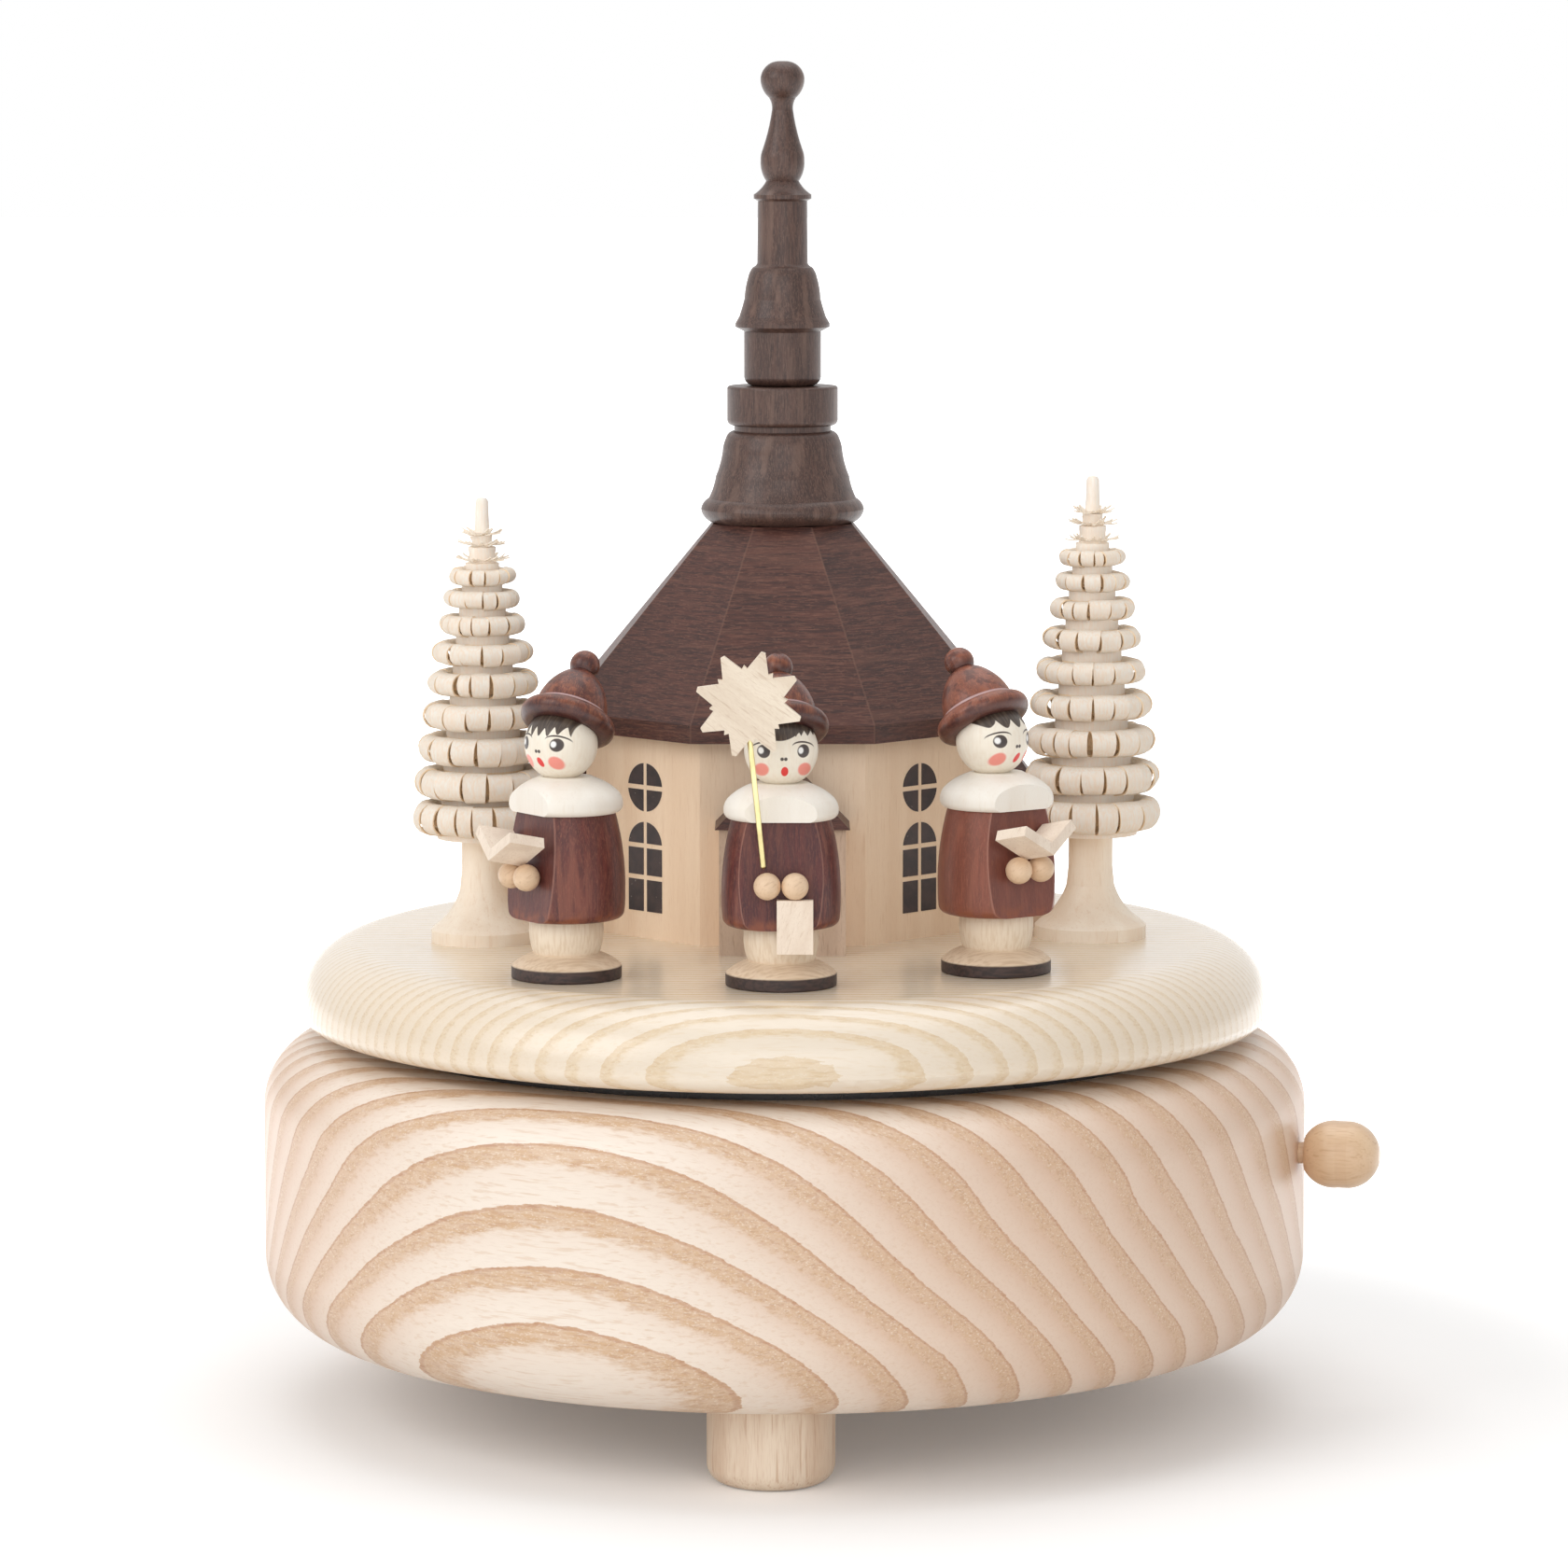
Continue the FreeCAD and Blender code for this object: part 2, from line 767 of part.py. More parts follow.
def make_stop_rod():
    """The dowel that slides through the wall, its wooden knob and its stop wire."""
    knob_inner = s.body_radius + s.knob_standoff
    rod_inner = cavity_radius + s.rod_inset
    rod_end = knob_inner + s.knob_length / 2
    wire_inner = spot_of_worm + s.fan_radius + s.fan_sweep_gap
    wire_outer = rod_inner + s.stop_wire_hole
    pin = turned("stop_dowel", [
        (s.stop_wire_radius, rod_inner),
        (s.rod_radius, rod_inner),
        (s.rod_radius, rod_end),
        (0, rod_end),
        (0, wire_outer),
        (s.stop_wire_radius, wire_outer),
    ])
    wire = turned("stop_pin", [
        (0, wire_inner),
        (s.stop_wire_radius, wire_inner),
        (s.stop_wire_radius, wire_outer),
        (0, wire_outer),
    ])
    half = s.knob_length / 2
    middle = knob_inner + half
    flat = s.knob_radius * 0.55
    knob = turned("stop_bead", [
        (s.rod_radius, knob_inner),
        (flat, knob_inner),
        (s.knob_radius, middle - half * 0.1, s.knob_radius * 1.02),
        (s.knob_radius, middle + half * 0.2),
        (s.knob_end_flat, middle + half, s.knob_radius),
        (0, middle + half),
        (0, rod_end),
        (s.rod_radius, rod_end),
    ])
    for label, item in (("stop_rod", pin), ("stop_knob", knob), ("stop_wire", wire)):
        put(item, 0, 0, s.rod_height, along_rod)
        keep(label, item)


# The musical movement

def bed_screw_places():
    """The bed's fixing screws in the movement's own directions."""
    back, side, front = s.bed_screw_back, s.bed_screw_side, s.bed_screw_front
    return [(-back, -side), (-back, side), (front, side)]


def bridge_screw_places():
    side = (s.bridge_reach + bridge_end) / 2
    return [(0, -side), (0, side)]


def make_bedplate():
    """The cast bed with the comb's pedestal."""
    comb_under = cylinder_axis - s.comb_thickness / 2
    outline = [
        (-s.bed_back, -bridge_end),
        (cylinder_end, -bridge_end),
        (frame_end, bed_side),
        (frame_end, s.bed_ear),
        (cylinder_end + s.bed_shoulder, comb_end),
        (s.cylinder_start - s.bed_shoulder, comb_end),
        (-s.bed_back, bridge_end),
    ]
    pad = plate("bed_pad", outline, ledge, s.bed_thickness)
    height = comb_under - bed_top + s.bed_thickness
    pedestal = block("comb_pedestal", s.cylinder_length, s.comb_back, height,
                     s.cylinder_start, comb_heel, ledge)
    solid = fused("bed_casting", [pad, pedestal])
    tools = [rod("arbor_bore", s.arbor_radius + s.fit_gap, s.bed_thickness, 0, 0, ledge)]
    for x, y in bed_screw_places() + bridge_screw_places():
        tools.append(rod("bed_thread", s.movement_screw_radius, s.bed_thickness, x, y, ledge))
    for x, y in comb_screw_places():
        thread_low = comb_under - s.comb_screw_length
        tools.append(rod("comb_thread", s.movement_screw_radius, s.comb_screw_length, x, y, thread_low))
    keep("bedplate", in_movement(cut("bedplate", solid, tools)))


def comb_screw_places():
    across = comb_heel + s.comb_back / 2
    first = s.cylinder_start + s.cylinder_length * 0.2
    last = cylinder_end - s.cylinder_length * 0.2
    return [(first, across), (last, across)]


def screw(name, x, y, seat, length, upward):
    """A cheese head screw whose head lies on the seat."""
    head_height = s.movement_screw_head_height
    shank_low = seat if upward else seat - length
    head_low = seat - head_height if upward else seat
    shank = rod(name + "_shank", s.movement_screw_radius, length, x, y, shank_low)
    head = rod(name + "_head", s.movement_screw_head, head_height, x, y, head_low)
    return fused(name, [shank, head])


def make_movement_screws():
    """The identical screws of the bed, the comb and the bridge."""
    screws = []
    for x, y in bed_screw_places():
        under = ledge - s.plate_thickness
        length = s.plate_thickness + s.bed_thickness
        screws.append(screw("bed_screw", x, y, under, length, True))
    for x, y in comb_screw_places():
        seat = cylinder_axis + s.comb_thickness / 2
        screws.append(screw("comb_screw", x, y, seat, s.comb_screw_length, False))
    for x, y in bridge_screw_places():
        seat = bed_top + s.bridge_plate
        length = s.bridge_plate + s.bed_thickness
        screws.append(screw("bridge_screw", x, y, seat, length, False))
    keep("movement_screws", in_movement(group("movement_screws", screws)))


def make_winding():
    """The winding arbor with its ratchet wheel and wing key."""
    key_top = s.key_bottom + s.key_hub_height
    arbor_top = barrel_top - s.barrel_wall - s.loose_gap
    arbor_low = s.key_bottom + s.key_end
    arbor = turned("winding_arbor", [
        (0, arbor_low),
        (s.arbor_radius, arbor_low),
        (s.arbor_radius, arbor_top),
        (0, arbor_top),
    ])
    keep("winding_arbor", arbor)
    keep("ratchet_wheel", in_movement(shaped("ratchet_wheel", ratchet_shape())))
    hub = turned("key_hub", [
        (0, s.key_bottom),
        (s.key_hub_radius - s.key_hub_round, s.key_bottom),
        (s.key_hub_radius, s.key_bottom + s.key_hub_round, s.key_hub_round),
        (s.key_hub_radius, key_top),
        (0, key_top),
    ])
    half = s.key_span / 2
    low = s.key_bottom
    top = low + s.key_blade_height
    corner = s.key_corner
    wing = upright_plate("key_wing", [
        (corner - half, low, corner),
        (half - corner, low),
        (half, low + corner, corner),
        (half, top - corner),
        (half - corner, top, corner),
        (s.key_dip_half, top - s.key_dip),
        (-s.key_dip_half, top - s.key_dip),
        (corner - half, top),
        (-half, top - corner, corner),
        (-half, low + corner),
    ], s.key_blade)
    solid = fused("key_blank", [hub, wing])
    bore = rod("key_bore", s.arbor_radius, s.key_hub_height, 0, 0, arbor_low)
    keep("winding_key", cut("winding_key", solid, [bore]))


def ratchet_shape():
    """A saw toothed wheel."""
    tip = float(s.ratchet_radius)
    root = tip - float(s.ratchet_tooth_depth)
    low = float(ratchet_bottom)
    points = []
    for tooth in range(RATCHET_TEETH):
        turn = 2 * math.pi * tooth / RATCHET_TEETH
        for radius in (root, tip):
            points.append(Vector(radius * math.cos(turn), radius * math.sin(turn), low))
    points.append(points[0])
    disc = Part.Face(Part.makePolygon(points)).extrude(Vector(0, 0, float(s.ratchet_thickness)))
    bore = Part.makeCylinder(float(s.arbor_radius), float(s.ratchet_thickness), Vector(0, 0, low))
    return disc.cut(bore)


def make_pawl():
    """The sprung click that holds the ratchet wheel, riveted to the bed."""
    reach = s.ratchet_radius + s.loose_gap
    pivot = s.ratchet_radius + s.pawl_pivot
    heel = s.pawl_heel
    arm = plate("pawl_arm", [
        (-reach - s.pawl_width, -heel),
        (-reach, -heel),
        (-reach, s.pawl_face),
        (s.pawl_face - pivot, s.pawl_rise),
        (-pivot - s.pawl_width, s.pawl_rise),
    ], bed_top + s.loose_gap, s.ratchet_thickness)
    rivet_height = s.loose_gap + s.ratchet_thickness + heel
    rivet = rod("pawl_rivet", s.pawl_rivet_radius, rivet_height, -pivot, s.pawl_rise + heel, bed_top)
    keep("ratchet_pawl", in_movement(fused("ratchet_pawl", [arm, rivet])))


def make_barrel():
    """The spring barrel, open only round the arbor and the spindle."""
    wall = s.barrel_wall
    low, top, radius = s.barrel_bottom, barrel_top, s.barrel_radius
    arbor_bore = s.arbor_radius + s.fit_gap
    barrel = turned("spring_barrel", [
        (arbor_bore, low),
        (radius, low),
        (radius, top),
        (s.spindle_radius, top),
        (s.spindle_radius, top - wall),
        (radius - wall, top - wall),
        (radius - wall, low + wall),
        (arbor_bore, low + wall),
    ])
    keep("spring_barrel", barrel)


def make_mainspring():
    """The coiled band between the arbor and the barrel wall, in half turns."""
    band = float(s.spring_band)
    step = float(s.spring_pitch) / 2
    outer = float(s.barrel_radius - s.barrel_wall)
    low = float(s.barrel_bottom + s.barrel_wall + s.loose_gap)
    height = float(s.barrel_height - s.barrel_wall * 2 - s.loose_gap * 2)

    def half_turns(inset):
        edges = []
        start = outer - inset
        side = 1
        for _ in range(SPRING_TURNS * 2):
            far = start - step
            radius = (start + far) / 2
            centre = side * (start - radius)
            points = [Vector(side * start, 0, low), Vector(centre, side * radius, low),
                      Vector(-side * far, 0, low)]
            edges.append(Part.Arc(*points).toShape())
            start = far
            side = -side
        return edges

    outside = half_turns(0.0)
    inside = half_turns(band)
    first = Part.makeLine(outside[0].Vertexes[0].Point, inside[0].Vertexes[0].Point)
    last_points = [edges[-1].valueAt(edges[-1].LastParameter) for edges in (outside, inside)]
    last = Part.makeLine(*last_points)
    wire = Part.Wire(Part.sortEdges(outside + inside + [first, last])[0])
    shape = Part.Face(wire).extrude(Vector(0, 0, height))
    keep("mainspring", shaped("mainspring", shape))


def make_spindle():
    """The upright shaft that carries the turntable's hub."""
    radius = s.spindle_radius
    flange = s.spindle_flange_radius
    top = s.table_bottom + s.hub_sleeve_height
    spindle = turned("spindle", [
        (0, barrel_top - s.barrel_wall),
        (radius, barrel_top - s.barrel_wall),
        (radius, barrel_top),
        (flange, barrel_top),
        (flange, barrel_top + s.spindle_flange),
        (radius, barrel_top + s.spindle_flange),
        (radius, top),
        (0, top),
    ])
    keep("spindle", spindle)


def gear_outline(teeth, module, root_share, tip_share):
    """The corners of a wheel whose teeth have straight flanks."""
    pitch_radius = module * teeth / 2.0
    root = pitch_radius - DEDENDUM * module
    tip = pitch_radius + ADDENDUM * module
    step = 2 * math.pi / teeth
    corners = []
    for tooth in range(teeth):
        middle = tooth * step
        for radius, share in ((root, -root_share), (tip, -tip_share), (tip, tip_share), (root, root_share)):
            turn = middle + share * step
            corners.append(Vector(radius * math.cos(turn), radius * math.sin(turn), 0))
    corners.append(corners[0])
    return Part.Face(Part.makePolygon(corners))


def gear(teeth, module, low, thickness, bore, first_tooth=0.0, root_share=0.3, tip_share=0.11):
    """A toothed wheel about the upright axis, its first tooth at the given angle."""
    face = gear_outline(teeth, float(module), root_share, tip_share)
    wheel = face.extrude(Vector(0, 0, float(thickness)))
    wheel = wheel.cut(Part.makeCylinder(float(bore), float(thickness)))
    wheel.rotate(Vector(0, 0, 0), Vector(0, 0, 1), first_tooth)
    wheel.translate(Vector(0, 0, float(low)))
    return wheel


def make_crown_wheel():
    """The ring of upright teeth on the barrel, which drives the cylinder."""
    low = float(barrel_top)
    floor = float(s.crown_floor)
    inner = float(s.crown_radius - s.crown_face / 2)
    outer = float(s.crown_radius + s.crown_face / 2)
    module = float(s.crown_module)
    root_height = low + floor
    tip_height = float(crown_pitch) + ADDENDUM * module
    ring = Part.makeCylinder(outer, floor, Vector(0, 0, low))
    ring = ring.cut(Part.makeCylinder(inner, floor, Vector(0, 0, low)))
    step = 2 * math.pi / CROWN_TEETH
    wires = []
    for radius in (inner, outer):
        root_half = radius * math.tan(0.27 * step)
        tip_half = radius * math.tan(0.12 * step)
        corners = [Vector(radius, -root_half, root_height - floor / 2),
                   Vector(radius, root_half, root_height - floor / 2),
                   Vector(radius, tip_half, tip_height),
                   Vector(radius, -tip_half, tip_height)]
        wires.append(Part.makePolygon(corners + corners[:1]))
    tooth = Part.makeLoft(wires, True, True)
    trim = Part.makeCylinder(outer, tip_height - low, Vector(0, 0, low))
    tooth = tooth.common(trim)
    teeth = []
    for index in range(CROWN_TEETH):
        copy = tooth.copy()
        copy.rotate(Vector(0, 0, 0), Vector(0, 0, 1), math.degrees(step) * (index + 0.5))
        teeth.append(copy)
    keep("crown_wheel", in_movement(shaped("crown_wheel", ring.multiFuse(teeth))))


def make_note_cylinder():
    """The pinned cylinder on its shaft, turning in the bridge and the governor frame."""
    shaft = s.shaft_radius
    drum = s.cylinder_radius
    start, end = s.cylinder_start, cylinder_end
    shaft_low = start - s.lug_setback
    solid = turned("cylinder_drum", [
        (0, shaft_low),
        (shaft, shaft_low),
        (shaft, start),
        (drum, start),
        (drum, end),
        (shaft, end),
        (shaft, frame_end),
        (0, frame_end),
    ])
    pins = []
    spacing = s.cylinder_length / COMB_TEETH
    for track in range(COMB_TEETH):
        along = start + spacing * (track + 0.5)
        for repeat in range(2):
            turn = Rotation(Vector(0, 0, 1), PIN_TURN * track + PIN_REPEAT * repeat)
            aim = turn.multiply(lay_down)
            pins.append(rod("cylinder_pin", s.pin_radius, drum + s.pin_height, 0, 0, along, aim))
    item = fused("note_cylinder", [solid] + pins)
    item.Refine = False
    keep("note_cylinder", in_movement(item, 0, 0, cylinder_axis, lay_down))


def make_cylinder_gears():
    """The pinion at the barrel and the wheel at the governor, on the cylinder's shaft."""
    pinion_low = s.crown_radius - s.crown_face / 2 + s.fit_gap
    pinion_width = s.crown_face - s.fit_gap * 2
    pinion = gear(CYLINDER_PINION_TEETH, s.crown_module, pinion_low, pinion_width, s.shaft_radius,
                  0.0, 0.27, 0.1)
    drop = float(s.governor_drop)
    wheel_turn = direction_in_gear(-math.cos(math.radians(drop)), -math.sin(math.radians(drop)))
    wheel = gear(CYLINDER_WHEEL_TEETH, s.train_module, train_wheel_start, s.wheel_thickness,
                 s.shaft_radius, wheel_turn)
    wheels = Part.makeCompound([pinion, wheel])
    item = shaped("cylinder_gears", wheels)
    keep("cylinder_gears", in_movement(item, 0, 0, cylinder_axis, lay_down))


def direction_in_gear(across, up):
    """The angle, in a wheel that lies down along the cylinder, of a direction in the movement."""
    aim = lay_down.inverted().multVec(Vector(0, across, up))
    return math.degrees(math.atan2(aim.y, aim.x))


def make_governor_wheel():
    """The arbor with its pinion and worm wheel, in one piece."""
    arbor_low = inner_post
    arbor_length = frame_end - inner_post
    drop = math.radians(float(s.governor_drop))
    toward_cylinder = direction_in_gear(math.cos(drop), math.sin(drop))
    toward_worm = direction_in_gear(-1.0, 0.0)
    radius = float(s.thin_arbor_radius)
    arbor = Part.makeCylinder(radius, float(arbor_length), Vector(0, 0, float(arbor_low)))
    pinion = gear(GOVERNOR_PINION_TEETH, s.train_module, train_wheel_start - s.fit_gap * 2,
                  s.wheel_thickness + s.fit_gap * 4, radius / 2,
                  toward_cylinder + 180.0 / GOVERNOR_PINION_TEETH, 0.26, 0.1)
    wheel = gear(WORM_WHEEL_TEETH, s.worm_module, worm_wheel_start, s.worm_wheel_thickness,
                 radius / 2, toward_worm + 180.0 / WORM_WHEEL_TEETH, 0.24, 0.09)
    shape = arbor.multiFuse([pinion, wheel])
    item = shaped("governor_wheel", shape)
    keep("governor_wheel", in_movement(item, 0, governor_side, governor_axis, lay_down))


def make_governor_worm():
    """The upright worm that the governor wheel drives."""
    pitch = float(s.worm_module) * math.pi
    core_radius = float(s.worm_pitch_radius) - 1.0 * float(s.worm_module)
    tip = float(s.worm_pitch_radius) + 0.7 * float(s.worm_module)
    low = float(governor_axis) - WORM_TURNS / 2 * pitch
    start = low - pitch / 4
    helix = Part.makeHelix(pitch, WORM_TURNS * pitch, core_radius)
    root_half, tip_half = 0.22 * pitch, 0.1 * pitch
    inside = core_radius - 0.08
    corners = [Vector(inside, 0, -root_half), Vector(tip, 0, -tip_half),
               Vector(tip, 0, tip_half), Vector(inside, 0, root_half)]
    section = Part.makePolygon(corners + corners[:1])
    thread = Part.Wire(helix).makePipeShell([section], True, True)
    thread.translate(Vector(0, 0, start))
    ends = float(bottom_lug), float(fan_bottom + s.fan_height)
    pivot = float(s.thin_arbor_radius)
    shaft = Part.makeCylinder(pivot, ends[1] - ends[0], Vector(0, 0, ends[0]))
    core_low = float(bottom_lug + s.frame_plate + s.fit_gap)
    core_high = float(top_lug - s.fit_gap)
    core = Part.makeCylinder(core_radius, core_high - core_low, Vector(0, 0, core_low))
    trim = Part.makeCylinder(tip * 2, core_high - core_low, Vector(0, 0, core_low))
    shape = shaft.multiFuse([core, thread.common(trim)])
    item = shaped("governor_worm", shape)
    keep("governor_worm", in_movement(item, worm_along, worm_side, 0))


def make_fan():
    """The two bladed air brake on top of the worm."""
    height = s.fan_height
    hub = rod("fan_hub", s.thin_arbor_radius + s.fan_hub_wall, height, 0, 0, fan_bottom)
    blade = block("fan_blades", s.fan_radius * 2, s.fan_blade, height,
                  -s.fan_radius, s.fan_blade / -2, fan_bottom)
    bore = rod("fan_bore", s.thin_arbor_radius, height, 0, 0, fan_bottom)
    item = cut("governor_fan", fused("fan_blank", [hub, blade]), [bore])
    keep("governor_fan", in_movement(item, worm_along, worm_side, 0))


def make_comb():
    """The steel comb, its notes cut by a row of slots."""
    low = cylinder_axis - s.comb_thickness / 2
    start, end = s.cylinder_start, cylinder_end
    body = plate("comb_blank", [(start, comb_tip), (end, comb_tip), (end, comb_end), (start, comb_end)],
                 low, s.comb_thickness)
    spacing = s.cylinder_length / COMB_TEETH
    slot_start = start + spacing - s.comb_slot / 2
    slot_open = comb_tip - s.comb_slot
    sketch = add_sketch(body, "XY_Plane", [
        (slot_start, slot_open),
        (slot_start + s.comb_slot, slot_open),
        (slot_start + s.comb_slot, comb_heel),
        (slot_start, comb_heel),
    ], low)
    slot = body.newObject("PartDesign::Pocket", "comb_slot")
    slot.Profile = sketch
    bind(slot, "Length", s.comb_thickness)
    slot.Reversed = True
    row = body.newObject("PartDesign::LinearPattern", "comb_slots")
    row.Originals = [slot]
    row.Direction = (sketch, ["H_Axis"])
    bind(row, "Length", spacing * (COMB_TEETH - 2))
    row.Occurrences = COMB_TEETH - 1
    body.Tip = row
    doc.recompute()
    if body.Shape.Volume > 0.95 * float((end - start) * (comb_end - comb_tip) * s.comb_thickness):
        raise ValueError("the comb has no slots")
    tools = []
    for x, y in comb_screw_places():
        hole = s.movement_screw_radius + s.fit_gap
        tools.append(rod("comb_hole", hole, s.comb_thickness, x, y, low))
    keep("comb", in_movement(cut("comb", body, tools)))


def make_bridge():
    """The bridge over the barrel, with the bearings of the spindle and the cylinder."""
    plate_size = s.bridge_plate
    width = s.bridge_width
    reach = s.bridge_reach
    leg = s.bridge_leg
    foot = s.bridge_foot
    pinion_tip = pinion_pitch_radius + s.crown_module * ADDENDUM
    top = cylinder_axis + pinion_tip - plate_size
    lug_start = s.cylinder_start - s.lug_setback
    lug_low = cylinder_axis - s.lug_margin
    lug = s.lug_width
    thin = s.lug_thickness
    pieces = [
        block("bridge_top", width, reach * 2, plate_size, width / -2, -reach, top),
        block("bridge_tongue", lug_start + thin, lug, plate_size, 0, lug / -2, top),
        block("bridge_lug", thin, lug, top - lug_low, lug_start, lug / -2, lug_low),
    ]
    for side in (-1, 1):
        inner = reach - leg if side > 0 else -reach
        outward = reach - leg if side > 0 else -bridge_end
        pieces.append(block("bridge_leg", width, leg, top - bed_top, width / -2, inner, bed_top))
        pieces.append(block("bridge_foot", width, foot, plate_size, width / -2, outward, bed_top))
    solid = fused("bridge_blank", pieces)
    bore = s.spindle_radius + s.fit_gap
    shaft_bore = s.shaft_radius + s.fit_gap
    tools = [
        rod("bridge_spindle_bore", bore, plate_size, 0, 0, top),
        rod("bridge_shaft_bore", shaft_bore, thin, lug_start, 0, cylinder_axis, lay_down),
    ]
    for x, y in bridge_screw_places():
        hole = s.movement_screw_radius + s.fit_gap
        tools.append(rod("bridge_screw_hole", hole, plate_size, x, y, bed_top))
    keep("barrel_bridge", in_movement(cut("barrel_bridge", solid, tools)))


def make_governor_frame():
    """The frame that carries the cylinder's end, the governor wheel and the worm."""
    thin = s.frame_plate
    edge = s.frame_edge
    width = edge - frame_side
    post_side = governor_side - s.frame_post_width + s.frame_post_edge
    post_height = governor_axis + s.frame_post_top - bed_top
    lug_start = worm_along - s.frame_lug_reach
    lug_side = worm_side - s.frame_lug_back
    lug_length = outer_plate - lug_start
    lug = s.frame_lug_width
    pieces = [
        block("frame_floor", frame_end - inner_post, width, s.frame_floor, inner_post, frame_side, bed_top),
        block("frame_post", thin, s.frame_post_width, post_height, inner_post, post_side, bed_top),
        block("frame_wall", thin, width, top_lug + thin - bed_top, outer_plate, frame_side, bed_top),
        block("frame_ear", thin, edge * 2, cylinder_axis + edge - bed_top, outer_plate, -edge, bed_top),
        block("frame_top_lug", lug_length, lug, thin, lug_start, lug_side, top_lug),
        block("frame_low_lug", lug_length, lug, thin, lug_start, lug_side, bottom_lug),
    ]
    solid = fused("frame_blank", pieces)
    thin_bore = s.thin_arbor_radius + s.fit_gap / 2
    shaft_bore = s.shaft_radius + s.fit_gap
    worm_hole_length = top_lug + thin - bottom_lug
    tools = [
        rod("frame_shaft_bore", shaft_bore, thin, outer_plate, 0, cylinder_axis, lay_down),
        rod("frame_wheel_bore", thin_bore, thin, outer_plate, governor_side, governor_axis, lay_down),
        rod("frame_post_bore", thin_bore, thin, inner_post, governor_side, governor_axis, lay_down),
        rod("frame_worm_bore", thin_bore, worm_hole_length, worm_along, worm_side, bottom_lug),
    ]
    keep("governor_frame", in_movement(cut("governor_frame", solid, tools)))


# What carries the turntable

def make_bush_and_ring():
    """The flanged brass bush in the box's roof and the black slide ring on its top."""
    bore = s.spindle_radius + s.fit_gap
    bush = turned("spindle_bush", [
        (bore, cavity_top),
        (s.bush_radius, cavity_top),
        (s.bush_radius, s.body_top),
        (s.bush_flange_radius, s.body_top),
        (s.bush_flange_radius, s.body_top + s.bush_flange),
        (bore, s.body_top + s.bush_flange),
    ])
    keep("spindle_bush", bush)
    ring_top = s.table_bottom - s.ring_gap
    ring = turned("slide_ring", [
        (s.ring_inner, s.body_top),
        (s.ring_outer, s.body_top),
        (s.ring_outer, ring_top),
        (s.ring_inner, ring_top),
    ])
    keep("slide_ring", ring)


def hub_screw_places():
    return ring_places(s.hub_screw_distance, HUB_SCREWS, 90.0)


def make_hub():
    """The metal hub under the turntable and its screws."""
    low = s.table_bottom - s.hub_plate
    top = s.table_bottom + s.hub_sleeve_height
    solid = turned("hub_turning", [
        (s.spindle_radius, low),
        (s.hub_radius, low),
        (s.hub_radius, s.table_bottom),
        (s.hub_sleeve_radius, s.table_bottom),
        (s.hub_sleeve_radius, top),
        (s.spindle_radius, top),
    ])
    tools = []
    screws = []
    for x, y in hub_screw_places():
        tools.append(rod("hub_hole", s.movement_screw_radius, s.hub_plate, x, y, low))
        tools.append(countersink("hub_countersink", s.plate_screw_head, x, y, low))
        shank = rod("hub_screw_shank", s.movement_screw_radius, s.hub_screw_length, x, y, low)
        head = countersink("hub_screw_head", s.plate_screw_head, x, y, low)
        screws.append(fused("hub_screw", [shank, head]))
    keep("turntable_hub", cut("turntable_hub", solid, tools))
    keep("hub_screws", group("hub_screws", screws))


def make_turntable():
    """The turned disc that carries the scene."""
    low, top = s.table_bottom, s.table_top
    sleeve_top = low + s.hub_sleeve_height
    solid = turned("turntable_turning", [
        (0, sleeve_top),
        (s.hub_sleeve_radius, sleeve_top),
        (s.hub_sleeve_radius, low),
        (s.table_radius - s.table_low_round, low),
        (s.table_radius, low + s.table_low_round, s.table_low_round),
        (s.table_radius, top - s.table_top_round),
        (s.table_radius - s.table_top_round, top, s.table_top_round),
        (0, top),
    ])
    tools = []
    pilot = s.hub_screw_length - s.hub_plate
    for x, y in hub_screw_places():
        tools.append(rod("hub_screw_pilot", s.movement_screw_radius, pilot, x, y, low))
    keep("turntable", cut("turntable", solid, tools))


# The church

def make_church_walls():
    """The eight sided wooden core of the church."""
    outline = octagon(s.wall_apothem)
    walls = plate("church_walls", outline, s.table_top, s.wall_top - s.table_top)
    keep("church_walls", put(walls, s.church_side, s.church_back, 0))


def make_church_roof():
    """The eight sided roof: an upright eave band and a sloping crown, bored for the spire."""
    body = plate("roof_block", octagon(s.eave_apothem), s.wall_top, s.eave_height)
    eave_top = s.wall_top + s.eave_height
    lower = add_sketch(body, "XY_Plane", octagon(s.eave_apothem), eave_top)
    upper = add_sketch(body, "XY_Plane", octagon(s.roof_top_apothem), s.roof_top)
    slope = body.newObject("PartDesign::AdditiveLoft", "roof_slope")
    slope.Profile = lower
    slope.Sections = [upper]
    slope.Ruled = True
    bore = rod("roof_bore", s.spigot_radius * 2, s.spigot_length, 0, 0, s.roof_top - s.spigot_length)
    roof = cut("church_roof", body, [bore])
    keep("church_roof", put(roof, s.church_side, s.church_back, 0))


